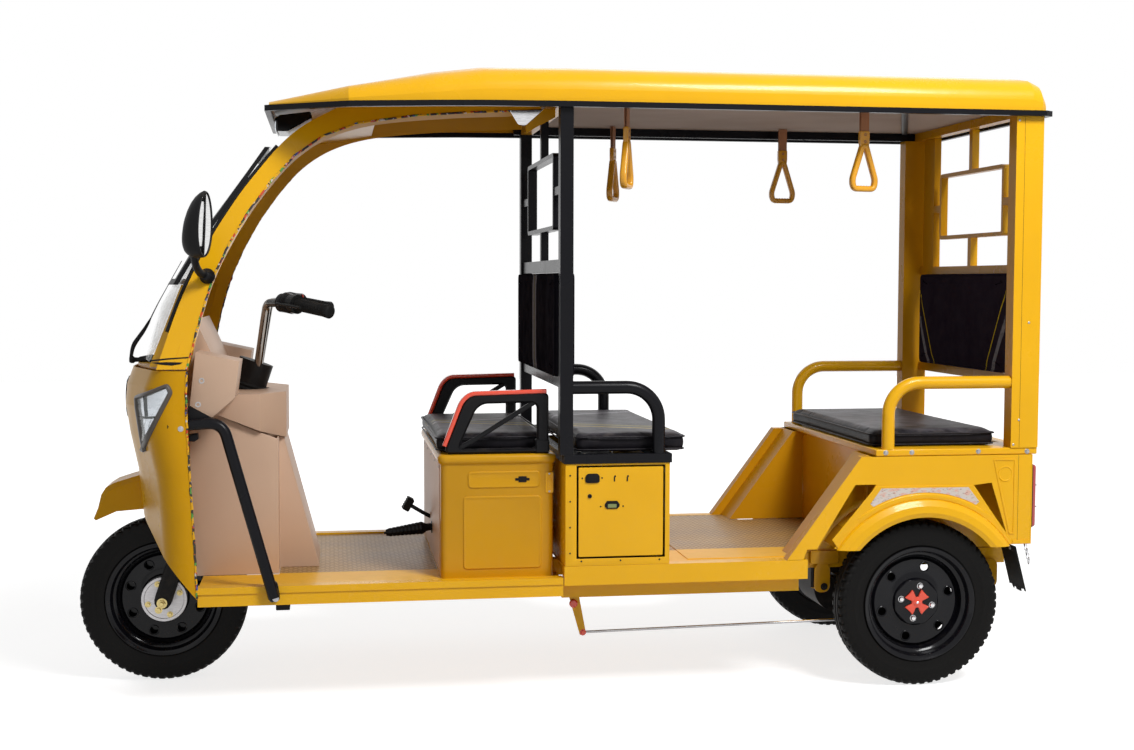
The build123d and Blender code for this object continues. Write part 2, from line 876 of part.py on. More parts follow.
# Cushions, each lifting on a hinge; each row is a box as above
cushion_corner = 30
cushion_crown = 14
cushion_rows = [
    ("driver_seat", (803, 1140, -355, 355, 722, 774)),
    ("front_bench_seat", (1204, 1534, -418, 418, 722, 776)),
    ("rear_seat", (2104, 2505, -400, 400, 722, 772)),
]
for name, row in cushion_rows:
    with BuildPart() as cushion:
        blocks([row])
        fillet(cushion.edges().filter_by(Axis.Z), cushion_corner)
        fillet(cushion.faces().sort_by(Axis.Z)[-1].edges(), cushion_crown)
    save(cushion, name)

# Armrests: bent frames each side of the driver's cushion, with padded tops
armrest_y = (378, 404)
armrest_outline = [(822, 719), (884, 869), (906, 888), (1118, 892), (1130, 884), (1130, 719)]
armrest_window = [(864, 733), (918, 847), (941, 862), (1082, 864), (1095, 855), (1095, 733)]
armrest_brace = [(1100, 866), (1078, 864), (856, 744), (866, 734)]
pad_outline = [
    (826, 744),
    (878, 872),
    (901, 894),
    (1120, 899),
    (1126, 905),
    (1118, 911),
    (898, 908),
    (866, 882),
    (815, 750),
]
armrest_bend = 5
with BuildPart() as driver_armrests:
    side_plate(armrest_outline, armrest_y, bend=armrest_bend)
    side_plate(armrest_window, armrest_y, bend=armrest_bend, mode=Mode.SUBTRACT)
    side_plate(armrest_brace, armrest_y)
    mirror(about=Plane.XZ)
save(driver_armrests, "driver_armrests")

with BuildPart() as armrest_pads:
    side_plate(pad_outline, armrest_y)
    mirror(about=Plane.XZ)
save(armrest_pads, "armrest_pads")

# Battery box under the front bench: open topped, with a door in each side
battery_box_row = (1168, 1475, -466, 466, 397, 694)
battery_hollow_row = (1171, 1472, -463, 463, 400, 800)
door_aft = (1201, 1461)
door_z = (418, 688)
battery_rim_row = (1164, 1480, -470, 470, 694, 720)
battery_rim_hollow_row = (1192, 1452, -440, 440, 600, 800)
battery_rows = [(1215, 1440, 15, 430, 401, 640)]
with BuildPart() as battery_box:
    blocks([battery_box_row])
    blocks([battery_hollow_row], mode=Mode.SUBTRACT)
    block(door_aft, (-through, through), door_z, mode=Mode.SUBTRACT)
save(battery_box, "battery_box")

with BuildPart() as battery_rim:
    blocks([battery_rim_row])
    blocks([battery_rim_hollow_row], mode=Mode.SUBTRACT)
save(battery_rim, "battery_rim")

with BuildPart() as batteries:
    paired_blocks(battery_rows)
save(batteries, "batteries")

# Battery doors: a leaf on two hinge knuckles, with a tab by the free edge
door_leaf_row = (1205, 1457, 462, 466, 422, 684)
knuckle_rows = [
    (1440, 1461, 466, 468, 460, 496),
    (1440, 1461, 466, 468, 620, 656),
]
door_tab_row = (1216, 1230, 466, 471, 596, 610)
hinge_place = (1461, 471)
hinge_pin_radius = 3.5
for side, name in ((1, "battery_door_left"), (-1, "battery_door_right")):
    with BuildPart() as battery_door:
        for row in [door_leaf_row, *knuckle_rows, door_tab_row]:
            block(row[0:2], mirrored_span(row[2:4], side), row[4:6])
        for row in knuckle_rows:
            with Locations((aft(hinge_place[0]), side * hinge_place[1], sum(row[4:6]) / 2)):
                Cylinder(hinge_pin_radius, row[5] - row[4])
    save(battery_door, name)

# Partition behind the driver: pillars, rails, a window ring and side hoops
partition_paired_rows = [
    (1152, 1190, 430, 468, 720, 1713.5),
    (1160, 1184, 289, 431, 1468, 1492),
]
partition_rows = [
    (1160, 1184, -431, 431, 1243, 1280),
    (1160, 1184, -431, 431, 909, 939),
    (1160, 1184, -12, 12, 1279, 1369),
    (1160, 1184, -12, 12, 1594, 1713.5),
]
window_aft = (1157, 1187)
window_outside = rectangle((-290, 290), (1368, 1595))
window_inside = rectangle((-277, 277), (1381, 1582))
window_bends = (16, 5)
front_hoop_route = [(1171, 449, 912), (1444, 449, 912), (1444, 449, 720)]
hoop_bend = 95
front_board_rows = [
    (1140, 1159.5, -420, 420, 941, 1241),
    (1184.5, 1202, -420, 420, 941, 1241),
]
with BuildPart() as partition_frame:
    paired_blocks(partition_paired_rows)
    paired_tube(front_hoop_route, hoop_diameter, bend=hoop_bend)
    blocks(partition_rows)
    cross_plate(window_outside, window_aft, bend=window_bends[0])
    cross_plate(window_inside, window_aft, bend=window_bends[1], mode=Mode.SUBTRACT)
save(partition_frame, "partition_frame")

with BuildPart() as front_backrest:
    blocks(front_board_rows)
save(front_backrest, "front_backrest")

# Rear bench: box between the wheel wells, closed at the back by the tail panel
bench_rows = [(2122, 2588, -330, 330, 398.5, 700)]
bench_hollow_row = (2125, 2585, -327, 327, 300, 800)
bench_top_row = (2100, 2607, -463, 463, 700, 720)
bench_opening_row = (2150, 2560, -300, 300, 600, 800)
with BuildPart() as rear_bench_box:
    blocks(bench_rows)
    blocks([bench_hollow_row], mode=Mode.SUBTRACT)
    blocks([bench_top_row])
    blocks([bench_opening_row], mode=Mode.SUBTRACT)
save(rear_bench_box, "rear_bench_box")

# Quarter panels over the rear wheels, with a sloping brace at the front
wheel_arch_radius = 325
skin_y = (463, 466)
brace_y = (428, 463.5)
panel_hole_y = (462.9, 500)
quarter_outline = [(1830, 398), (2054, 699.5), (2588, 699.5), (2588, 428), (1891, 428), (1880, 398)]
brace_outline = [(1830, 398), (2054, 699.5), (2090, 699.5), (1866, 398)]
front_hole_outline = [(1915, 420), (2036, 617), (2101, 617), (1968, 420)]
rear_hole_outline = [(2407, 610), (2463, 616), (2515, 456)]
with BuildPart() as quarter_panels:
    side_plate(quarter_outline, skin_y)
    side_plate(brace_outline, brace_y)
    side_plate(front_hole_outline, panel_hole_y, mode=Mode.SUBTRACT)
    side_plate(rear_hole_outline, panel_hole_y, mode=Mode.SUBTRACT)
    cross_cylinder((wheelbase, 480, wheel_radius), wheel_arch_radius, 100, mode=Mode.SUBTRACT)
    mirror(about=Plane.XZ)
save(quarter_panels, "quarter_panels")

# Wheel houses: a wall beside the rear footwell and a slope behind each brace
house_wall_y = (309, 312)
house_slope_y = (312, 427.9)
house_wall_outline = [(1862, 398.3), (2085.5, 699.5), (2121.9, 699.5), (2121.9, 398.3)]
house_slope_outline = [(1862, 398.3), (2085.5, 699.5), (2090, 699.5), (1866.5, 398.3)]
with BuildPart() as wheel_houses:
    for side in (1, -1):
        side_plate(house_wall_outline, mirrored_span(house_wall_y, side))
        side_plate(house_slope_outline, mirrored_span(house_slope_y, side))
save(wheel_houses, "wheel_houses")

mudguard_y = 397
mudguard_radii = (321, 318)
mudguard_widths = (130, 140)
mudguard_low_row = (1800, 2700, 300, 500, -200, 428)
with BuildPart() as rear_mudguards:
    cross_cylinder((wheelbase, mudguard_y, wheel_radius), mudguard_radii[0], mudguard_widths[0])
    cross_cylinder(
        (wheelbase, mudguard_y, wheel_radius), mudguard_radii[1], mudguard_widths[1], mode=Mode.SUBTRACT
    )
    blocks([mudguard_low_row], mode=Mode.SUBTRACT)
    mirror(about=Plane.XZ)
save(rear_mudguards, "rear_mudguards")

# Rolled lips round the wheel openings; each row is (radius, y)
lip_profile = [
    (323, 467),
    (318, 477),
    (302, 486),
    (282, 488),
    (268, 483),
    (269, 479.5),
    (282, 484),
    (301, 482),
    (315, 473),
    (319, 467),
]
lip_cut_row = (1800, 2700, 400, 500, -200, 424)
with BuildPart() as wheel_lips:
    ring_about(wheelbase, 0, lip_profile)
    blocks([lip_cut_row], mode=Mode.SUBTRACT)
    mirror(about=Plane.XZ)
save(wheel_lips, "wheel_lips")

# Tail: a panel with two holes for the number plate, lamps and mud flaps
tail_panel_row = (2588.5, 2592, -466, 466, 428, 699.5)
plate_hole_radius = 4
plate_hole_half_spacing = 90
plate_hole_z = 560
tail_lamp_rows = [(2592.5, 2610, 376, 462, 476, 668)]
flap_outline = [(2550, 419), (2554, 419), (2580, 283), (2576, 283)]
flap_y = (350, 455)
with BuildPart() as tail_panel:
    blocks([tail_panel_row])
    for side in (1, -1):
        hole_place = (aft(tail_panel_row[1]), side * plate_hole_half_spacing, plate_hole_z)
        with Locations(Location(hole_place, (0, 90, 0))):
            Cylinder(plate_hole_radius, 20, mode=Mode.SUBTRACT)
save(tail_panel, "tail_panel")

with BuildPart() as tail_lamps:
    paired_blocks(tail_lamp_rows)
save(tail_lamps, "tail_lamps")

with BuildPart() as mud_flaps:
    for side in (1, -1):
        side_plate(flap_outline, mirrored_span(flap_y, side))
save(mud_flaps, "mud_flaps")

# Rear posts carry the roof, the lattice behind the bench and its hoops
rear_post_rows = [(2521, 2607, 416, 466, 720, 1713.5)]
rear_lattice_aft = (2582, 2606)
rear_lattice_rows = [
    (2582, 2606, -415, 415, 1242, 1270),
    (2582, 2606, -415, 415, 905, 933),
    (2582, 2606, -12, 12, 1269, 1363),
    (2582, 2606, -12, 12, 1584, 1713.5),
]
rear_lattice_paired_rows = [
    (2582, 2606, 249, 302, 1456, 1480),
    (2582, 2606, 300, 390, 1269, 1713.5),
]
rear_window_outside = rectangle((-250, 250), (1362, 1585))
rear_window_inside = rectangle((-237, 237), (1375, 1572))
rear_hoop_route = [(2520.5, 445, 917), (2143, 445, 917), (2143, 445, 720)]
rear_board_row = (2551, 2581.5, -345, 345, 935, 1244)
with BuildPart() as rear_posts:
    paired_blocks(rear_post_rows)
save(rear_posts, "rear_posts")

with BuildPart() as rear_lattice:
    blocks(rear_lattice_rows)
    paired_blocks(rear_lattice_paired_rows)
    cross_plate(rear_window_outside, rear_lattice_aft, bend=window_bends[0])
    cross_plate(rear_window_inside, rear_lattice_aft, bend=window_bends[1], mode=Mode.SUBTRACT)
save(rear_lattice, "rear_lattice")

with BuildPart() as rear_hoops:
    paired_tube(rear_hoop_route, hoop_diameter, bend=hoop_bend)
save(rear_hoops, "rear_hoops")

with BuildPart() as rear_backrest:
    blocks([rear_board_row])
save(rear_backrest, "rear_backrest")

# Rear axle: tube, drive casing, motor and brake backs in one piece.
# Each row is (aft, y, radius, length) of a cylinder across the vehicle.
axle_rows = [
    (2252, 0, 30, 670),
    (2252, 0, 80, 150),
    (2102, 60, 85, 180),
    (2252, 330, 72, 10),
    (2252, -330, 72, 10),
]
with BuildPart() as rear_axle:
    for centre_aft, centre_y, radius, length in axle_rows:
        cross_cylinder((centre_aft, centre_y, wheel_radius), radius, length)
save(rear_axle, "rear_axle")

# Leaf springs: three curved leaves a side, with eyes and hangers.
# Each leaf row is (half length, z at the ends, z in the middle, thickness).
leaf_y = (265, 315)
leaf_rows = [
    (300, 318, 286, 8),
    (220, 312, 294, 8),
    (140, 310, 302, 8),
]
spring_fitting_rows = [
    (2222, 2282, 265, 315, 280.5, 312),
    (1952, 1964, 265, 315, 283, 342.5),
    (2542, 2554, 265, 315, 283, 342.5),
]


def leaf(half_length, end_z, middle_z, thickness, y_span):
    low = [(wheelbase - half_length, end_z), (wheelbase, middle_z), (wheelbase + half_length, end_z)]
    lower = [(aft(distance), z) for distance, z in low]
    upper = [(x, z + thickness) for x, z in lower]
    with BuildSketch(Plane.XZ.offset(-y_span[1])) as profile:
        with BuildLine():
            ThreePointArc(*lower)
            ThreePointArc(*upper)
            Line(lower[0], upper[0])
            Line(lower[2], upper[2])
        make_face()
    extrude(profile.sketch, amount=y_span[1] - y_span[0])


with BuildPart() as leaf_springs:
    for side in (1, -1):
        for row in leaf_rows:
            leaf(*row, mirrored_span(leaf_y, side))
    paired_blocks(spring_fitting_rows)
save(leaf_springs, "leaf_springs")

# Brake rod under the floor and the controls in front of the driver's box
brake_arm_outline = [(1200, 292), (1232, 292), (1256, 165), (1238, 158)]
brake_arm_y = (300, 306)
brake_rod_route = [(1246, 303, 166), (2160, 303, 180)]
brake_rod_diameter = 8
lever_route = [(815.5, 40, 452), (671, 40, 444)]
lever_diameter = 14
pedal_outline = [(815.5, 462), (815.5, 476), (746, 520), (738, 506)]
pedal_y = (-80, -36)
with BuildPart() as brake_linkage:
    side_plate(brake_arm_outline, brake_arm_y)
    tube(brake_rod_route, brake_rod_diameter)
save(brake_linkage, "brake_linkage")

with BuildPart() as floor_controls:
    tube(lever_route, lever_diameter)
    side_plate(pedal_outline, pedal_y)
save(floor_controls, "floor_controls")

# Hand straps under the roof rails. Outlines are (across, z); each strap row is
# (aft, y, turn about the strap in degrees).
strap_outline = [(-12, 1632), (12, 1632), (12, 1740.5), (-12, 1740.5)]
loop_outline = [(-11, 1644), (11, 1644), (48, 1492), (40, 1484), (-40, 1484), (-48, 1492)]
loop_hole = [(0, 1618), (30, 1502), (-30, 1502)]
strap_thickness = 4
loop_thickness = 12
loop_hole_depth = 14
strap_rows = [(1366, 350, 64), (2090, 350, 12), (1456, -350, 62), (2050, -350, 6)]


def flat_piece(strap_aft, strap_y, turn, outline, thickness, mode):
    across = (cos(radians(turn)), sin(radians(turn)), 0)
    facing = (sin(radians(turn)), -cos(radians(turn)), 0)
    plane = Plane(origin=(aft(strap_aft), strap_y, 0), x_dir=across, z_dir=facing)
    extrude(outline_face(plane, outline), amount=thickness / 2, both=True, mode=mode)


with BuildPart() as hanging_handles:
    for row in strap_rows:
        flat_piece(*row, strap_outline, strap_thickness, Mode.ADD)
        flat_piece(*row, loop_outline, loop_thickness, Mode.ADD)
        flat_piece(*row, loop_hole, loop_hole_depth, Mode.SUBTRACT)
save(hanging_handles, "hanging_handles")
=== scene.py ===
# Finish and fittings of the auto rickshaw. Metres, +X to the nose, +Y to the near side, +Z up.
import math
import random

import bmesh
import bpy
from mathutils import Matrix, Vector, noise
from mathutils.bvhtree import BVHTree


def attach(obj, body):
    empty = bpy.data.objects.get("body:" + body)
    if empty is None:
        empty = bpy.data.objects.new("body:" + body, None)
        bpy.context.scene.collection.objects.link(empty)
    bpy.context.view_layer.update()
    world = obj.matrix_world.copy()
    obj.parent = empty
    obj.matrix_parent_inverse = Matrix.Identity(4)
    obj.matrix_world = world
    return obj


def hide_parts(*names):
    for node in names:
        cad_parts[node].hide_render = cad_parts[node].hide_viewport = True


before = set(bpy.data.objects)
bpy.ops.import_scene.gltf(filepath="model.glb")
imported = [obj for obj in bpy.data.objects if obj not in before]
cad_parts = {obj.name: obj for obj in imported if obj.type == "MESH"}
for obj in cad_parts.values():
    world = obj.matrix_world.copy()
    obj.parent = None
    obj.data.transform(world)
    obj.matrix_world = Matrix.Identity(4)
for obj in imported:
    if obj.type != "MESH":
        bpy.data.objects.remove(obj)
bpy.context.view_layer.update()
scene = bpy.context.scene
print("frame loaded:", len(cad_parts), "nodes")

frontAxle = 1.19  # the front axle's place along X
rearAxle = 2.252  # how far the rear axle is behind the front one
wheelHeight = 0.25  # the axles' height
rearTrack = 0.4  # each rear wheel's distance from the middle
frontCentre = (frontAxle, 0, wheelHeight)


def at(aft, side, up):  # a place given as metres behind the front axle, to the near side, and up
    return Vector((frontAxle - aft, side, up))


def sidePlace(side, place):  # the same for a place (aft, side, up) on the near side, 1, or the far side, -1
    aft, outward, up = place
    return at(aft, side * outward, up)


# Camera, light and floor
viewpoint = {
    "eye": (0.6867, 4.737, 1.2167),
    "turn": math.radians(8.9),  # towards the tail
    "dip": math.radians(3.535),
    "roll": math.radians(-0.11),
    "lens": 48.14,
}
studio = {
    "worldStrength": 0.27,
    "keyPlace": (-1.9, 3.6, 4.6),
    "keySize": 1.5,
    "keyPower": 255,
    "fillPlace": (2.8, 4.2, 2.2),
    "fillSize": 3.0,
    "fillPower": 9,
    "backPlace": (-1.5, -3.4, 3.4),
    "backPower": 12,
    "floorColour": (0.6, 0.6, 0.6, 1),
    "floorGlow": (0.76, 1.0),  # near the vehicle and far off
    "floorFade": (1.9, 4.2),
    "floorHalf": 14,
}


def addCamera():
    turn, dip = viewpoint["turn"], viewpoint["dip"]
    forward = Vector((-math.sin(turn) * math.cos(dip), -math.cos(turn) * math.cos(dip), -math.sin(dip)))
    data = bpy.data.cameras.new("photoCamera")
    data.lens = viewpoint["lens"]
    data.sensor_width = 36
    data.sensor_fit = "HORIZONTAL"
    data.clip_end = 60
    camera = bpy.data.objects.new("photoCamera", data)
    scene.collection.objects.link(camera)
    facing = forward.to_track_quat("-Z", "Y").to_matrix()
    rolled = Matrix.Rotation(viewpoint["roll"], 3, forward) @ facing
    camera.matrix_world = Matrix.Translation(viewpoint["eye"]) @ rolled.to_4x4()
    scene.camera = camera


def addLamp(name, place, size, power):
    data = bpy.data.lights.new(name, "AREA")
    data.size = size
    data.energy = power
    lamp = bpy.data.objects.new(name, data)
    lamp.location = place
    aim = Vector((0, 0, 0.8)) - lamp.location
    lamp.rotation_euler = aim.to_track_quat("-Z", "Y").to_euler()
    scene.collection.objects.link(lamp)


def link(tree, source, target):
    tree.links.new(source, target)


def feed(tree, value, socket):  # a socket's value is either another node's output or a plain value
    if isinstance(value, bpy.types.NodeSocket):
        link(tree, value, socket)
    else:
        socket.default_value = value


def smoothRange(tree, value, low, high, toLow=0.0, toHigh=1.0):
    node = tree.nodes.new("ShaderNodeMapRange")
    node.interpolation_type = "SMOOTHSTEP"
    link(tree, value, node.inputs["Value"])
    for label, number in (("From Min", low), ("From Max", high), ("To Min", toLow), ("To Max", toHigh)):
        node.inputs[label].default_value = number
    return node.outputs[0]


def seenDirectly(tree):  # 1 where a ray comes straight from the camera, off a shine or through glass
    path = tree.nodes.new("ShaderNodeLightPath")
    both = math2(tree, "MAXIMUM", path.outputs["Is Camera Ray"], path.outputs["Is Glossy Ray"])
    return math2(tree, "MAXIMUM", both, path.outputs["Is Transmission Ray"])


def math2(tree, operation, first, second=0.0, clamp=False):
    node = tree.nodes.new("ShaderNodeMath")
    node.operation = operation
    node.use_clamp = clamp
    for socket, value in zip(node.inputs, (first, second)):
        feed(tree, value, socket)
    return node.outputs[0]


def newMaterial(**values):
    material = bpy.data.materials.new("finish")
    material.use_nodes = True
    shader = material.node_tree.nodes["Principled BSDF"]
    for label, value in values.items():
        shader.inputs[label.replace("_", " ")].default_value = value
    return material, material.node_tree, shader


def addStudio():
    world = bpy.data.worlds.new("whiteRoom")
    world.use_nodes = True
    scene.world = world
    tree = world.node_tree
    ambient = tree.nodes["Background"]
    ambient.inputs["Strength"].default_value = studio["worldStrength"]
    ambient.inputs["Color"].default_value = (1, 1, 1, 1)
    white = tree.nodes.new("ShaderNodeBackground")
    white.inputs["Color"].default_value = (1, 1, 1, 1)
    mix = tree.nodes.new("ShaderNodeMixShader")
    link(tree, seenDirectly(tree), mix.inputs[0])
    link(tree, ambient.outputs[0], mix.inputs[1])
    link(tree, white.outputs[0], mix.inputs[2])
    link(tree, mix.outputs[0], tree.nodes["World Output"].inputs["Surface"])
    addLamp("keyLamp", studio["keyPlace"], studio["keySize"], studio["keyPower"])
    addLamp("fillLamp", studio["fillPlace"], studio["fillSize"], studio["fillPower"])
    addLamp("backLamp", studio["backPlace"], studio["fillSize"], studio["backPower"])
    half = studio["floorHalf"]
    mesh = bpy.data.meshes.new("floor")
    mesh.from_pydata([(-half, -half, 0), (half, -half, 0), (half, half, 0), (-half, half, 0)], [],
                     [(0, 1, 2, 3)])
    floor = bpy.data.objects.new("floor", mesh)
    scene.collection.objects.link(floor)
    paint, tree, shader = newMaterial(Base_Color=studio["floorColour"], Roughness=0.9, Specular_IOR_Level=0.1,
                                      Emission_Color=(1, 1, 1, 1))
    paint.name = "floorPaint"
    reach = tree.nodes.new("ShaderNodeVectorMath")
    reach.operation = "LENGTH"
    link(tree, tree.nodes.new("ShaderNodeTexCoord").outputs["Object"], reach.inputs[0])
    fade = smoothRange(tree, reach.outputs["Value"], *studio["floorFade"], *studio["floorGlow"])
    glow = math2(tree, "MULTIPLY", seenDirectly(tree), fade)
    link(tree, glow, shader.inputs["Emission Strength"])
    mesh.materials.append(paint)


addCamera()
addStudio()
scene.view_settings.view_transform = "Standard"
print("camera and studio ready")


# Shared surface effects, as node groups
def newGroup(name, inputs, outputs):
    group = bpy.data.node_groups.new(name, "ShaderNodeTree")
    for label, kind, value in inputs:
        socket = group.interface.new_socket(label, in_out="INPUT", socket_type="NodeSocket" + kind)
        socket.default_value = value
    for label, kind in outputs:
        group.interface.new_socket(label, in_out="OUTPUT", socket_type="NodeSocket" + kind)
    return group, group.nodes.new("NodeGroupInput"), group.nodes.new("NodeGroupOutput")


def mixColour(tree, share, first, second, blend="MIX"):
    node = tree.nodes.new("ShaderNodeMix")
    node.data_type = "RGBA"
    node.blend_type = blend
    for socket, value in ((node.inputs[0], share), (node.inputs[6], first), (node.inputs[7], second)):
        feed(tree, value, socket)
    return node.outputs[2]


def noiseAt(tree, scale, detail=3.0, stretch=None):
    place = tree.nodes.new("ShaderNodeTexCoord").outputs["Object"]
    if stretch:
        mapping = tree.nodes.new("ShaderNodeMapping")
        mapping.inputs["Scale"].default_value = stretch
        link(tree, place, mapping.inputs["Vector"])
        place = mapping.outputs[0]
    node = tree.nodes.new("ShaderNodeTexNoise")
    node.inputs["Detail"].default_value = detail
    feed(tree, scale, node.inputs["Scale"])
    link(tree, place, node.inputs["Vector"])
    return node.outputs["Fac"]


def splitPlace(tree):  # the place on the piece as X, Y and Z
    place = tree.nodes.new("ShaderNodeSeparateXYZ")
    link(tree, tree.nodes.new("ShaderNodeTexCoord").outputs["Object"], place.inputs[0])
    return place


dustBrown = (0.36, 0.29, 0.22, 1)


def makeWeather():  # colour drift, fine dust on what faces up and near the ground, and a matt bloom
    group, given, result = newGroup(
        "weather",
        [("Colour", "Color", (0.8, 0.8, 0.8, 1)), ("Drift", "Float", 0.1), ("Dust", "Float", 0.2),
         ("Dust Colour", "Color", dustBrown), ("Roughness", "Float", 0.3)],
        [("Colour", "Color"), ("Roughness", "Float"), ("Mask", "Float")])
    broad = noiseAt(group, 3.1, 4)
    fine = noiseAt(group, 46, 5)
    drift = math2(group, "MULTIPLY", smoothRange(group, broad, 0.3, 0.7), given.outputs["Drift"])
    darker = mixColour(group, 1.0, given.outputs["Colour"], (0.62, 0.56, 0.5, 1), "MULTIPLY")
    drifted = mixColour(group, drift, given.outputs["Colour"], darker)
    geometry = group.nodes.new("ShaderNodeNewGeometry")
    split = group.nodes.new("ShaderNodeSeparateXYZ")
    link(group, geometry.outputs["Normal"], split.inputs[0])
    upward = smoothRange(group, split.outputs["Z"], 0.35, 1.0, 0.12, 1.0)
    place = splitPlace(group)
    low = smoothRange(group, place.outputs["Z"], 0.75, 0.15, 0.45, 1.0)
    speckle = smoothRange(group, fine, 0.42, 0.75)
    patchy = math2(group, "MULTIPLY", math2(group, "MULTIPLY", upward, low), speckle)
    mask = math2(group, "MULTIPLY", patchy, given.outputs["Dust"], clamp=True)
    dusty = mixColour(group, mask, drifted, given.outputs["Dust Colour"])
    link(group, dusty, result.inputs["Colour"])
    rough = math2(group, "ADD", given.outputs["Roughness"], math2(group, "MULTIPLY", mask, 0.45))
    ripple = math2(group, "MULTIPLY", math2(group, "SUBTRACT", broad, 0.5), 0.12)
    link(group, math2(group, "ADD", rough, ripple, clamp=True), result.inputs["Roughness"])
    link(group, mask, result.inputs["Mask"])
    return group


def makeGrain():  # a fine pebble for vinyl, moulded plastic and rubber
    group, given, result = newGroup(
        "grain", [("Scale", "Float", 300.0), ("Soft", "Float", 60.0)], [("Height", "Float")])
    cell = group.nodes.new("ShaderNodeTexVoronoi")
    cell.feature = "SMOOTH_F1"
    link(group, group.nodes.new("ShaderNodeTexCoord").outputs["Object"], cell.inputs["Vector"])
    link(group, given.outputs["Scale"], cell.inputs["Scale"])
    swell = noiseAt(group, given.outputs["Soft"], 2)
    link(group, math2(group, "ADD", cell.outputs["Distance"], swell), result.inputs["Height"])
    return group


def makeOrangePeel():  # the slow ripple of sprayed paint on pressed sheet
    group, given, result = newGroup(
        "orangePeel", [("Peel", "Float", 420.0), ("Dents", "Float", 7.0)], [("Height", "Float")])
    peel = math2(group, "MULTIPLY", noiseAt(group, given.outputs["Peel"], 1), 0.1)
    dents = noiseAt(group, given.outputs["Dents"], 2)
    link(group, math2(group, "ADD", peel, dents), result.inputs["Height"])
    return group


def makeChequer():  # raised lozenges in two directions on floor plate
    group, given, result = newGroup(
        "chequer", [("Pitch", "Float", 0.021)], [("Height", "Float"), ("Mask", "Float")])
    place = splitPlace(group)
    across = math2(group, "ADD", place.outputs["X"], place.outputs["Y"])
    along = math2(group, "SUBTRACT", place.outputs["X"], place.outputs["Y"])
    u = math2(group, "DIVIDE", across, math2(group, "MULTIPLY", given.outputs["Pitch"], 1.414))
    v = math2(group, "DIVIDE", along, math2(group, "MULTIPLY", given.outputs["Pitch"], 1.414))
    parity = math2(group, "MODULO", math2(group, "ABSOLUTE", math2(
        group, "ADD", math2(group, "FLOOR", u), math2(group, "FLOOR", v))), 2.0)
    du = math2(group, "SUBTRACT", math2(group, "FRACT", u), 0.5)
    dv = math2(group, "SUBTRACT", math2(group, "FRACT", v), 0.5)
    other = math2(group, "SUBTRACT", 1.0, parity)
    long = math2(group, "ADD", math2(group, "MULTIPLY", du, parity), math2(group, "MULTIPLY", dv, other))
    short = math2(group, "ADD", math2(group, "MULTIPLY", dv, parity), math2(group, "MULTIPLY", du, other))
    reach = math2(group, "ADD", math2(group, "POWER", math2(group, "DIVIDE", long, 0.47), 2.0),
                  math2(group, "POWER", math2(group, "DIVIDE", short, 0.17), 2.0))
    lozenge = smoothRange(group, reach, 1.15, 0.55)
    link(group, lozenge, result.inputs["Height"])
    link(group, lozenge, result.inputs["Mask"])
    return group


groups = {"weather": makeWeather(), "grain": makeGrain(), "orangePeel": makeOrangePeel(),
          "chequer": makeChequer()}


def useGroup(tree, name, **values):
    node = tree.nodes.new("ShaderNodeGroup")
    node.node_tree = groups[name]
    for label, value in values.items():
        feed(tree, value, node.inputs[label.replace("_", " ")])
    return node


def addBump(tree, shader, height, strength, distance):
    bump = tree.nodes.new("ShaderNodeBump")
    bump.inputs["Strength"].default_value = strength
    bump.inputs["Distance"].default_value = distance
    link(tree, height, bump.inputs["Height"])
    link(tree, bump.outputs[0], shader.inputs["Normal"])


def weathered(tree, shader, **values):  # gives the shader a weathered colour and roughness
    weather = useGroup(tree, "weather", **values)
    link(tree, weather.outputs["Colour"], shader.inputs["Base Color"])
    link(tree, weather.outputs["Roughness"], shader.inputs["Roughness"])


def paintFinish(colour, rough=0.28, drift=0.15, dust=0.18, coat=0.3, dents=0.4, shine=0.35,
                dustColour=dustBrown):
    material, tree, shader = newMaterial(Coat_Weight=coat, Coat_Roughness=0.08, Specular_IOR_Level=shine)
    weathered(tree, shader, Colour=(*colour, 1), Drift=drift, Dust=dust, Roughness=rough,
              Dust_Colour=dustColour)
    peel = useGroup(tree, "orangePeel")
    addBump(tree, shader, peel.outputs["Height"], dents, 0.004)
    return material


def grainFinish(colour, rough=0.5, drift=0.2, dust=0.2, scale=420.0, soft=30.0, depth=0.0006, strength=0.5,
                dustColour=dustBrown, **values):
    material, tree, shader = newMaterial(**values)
    weathered(tree, shader, Colour=(*colour, 1), Drift=drift, Dust=dust, Roughness=rough,
              Dust_Colour=dustColour)
    grain = useGroup(tree, "grain", Scale=scale, Soft=soft)
    addBump(tree, shader, grain.outputs["Height"], strength, depth)
    return material


# Yellow chequer plate with painted light: mottled browns for the paint in the roof's shadow, lighter lozenge
# crowns, and a painted band of sunlight along the near side
def chequerFinish():
    material, tree, shader = newMaterial(Coat_Weight=0.05, Specular_IOR_Level=0.3)
    plate = useGroup(tree, "chequer", Pitch=0.019)
    worn = noiseAt(tree, 5.5, 5)
    # painted shade: the yellow plate shown in mottled browns, as if lying in the roof's shadow
    base = mixColour(tree, smoothRange(tree, worn, 0.35, 0.68), (0.34, 0.18, 0.035, 1), (0.27, 0.16, 0.07, 1))
    crowned = mixColour(tree, plate.outputs["Mask"], base, (0.62, 0.42, 0.2, 1))
    place = splitPlace(tree)
    sunlitBand = smoothRange(tree, place.outputs["Y"], 0.24, 0.25)  # painted sunlight: a plain yellow band along the near side, where the roof's shadow ends, without the lozenge bumps
    crowned = mixColour(tree, sunlitBand, crowned, (*paintYellow, 1))
    weathered(tree, shader, Colour=crowned, Drift=0.25, Dust=0.12, Roughness=0.4,
              Dust_Colour=(0.36, 0.27, 0.18, 1))
    height = math2(tree, "MULTIPLY", plate.outputs["Height"], math2(tree, "SUBTRACT", 1.0, sunlitBand))
    addBump(tree, shader, height, 1.0, 0.0026)
    return material


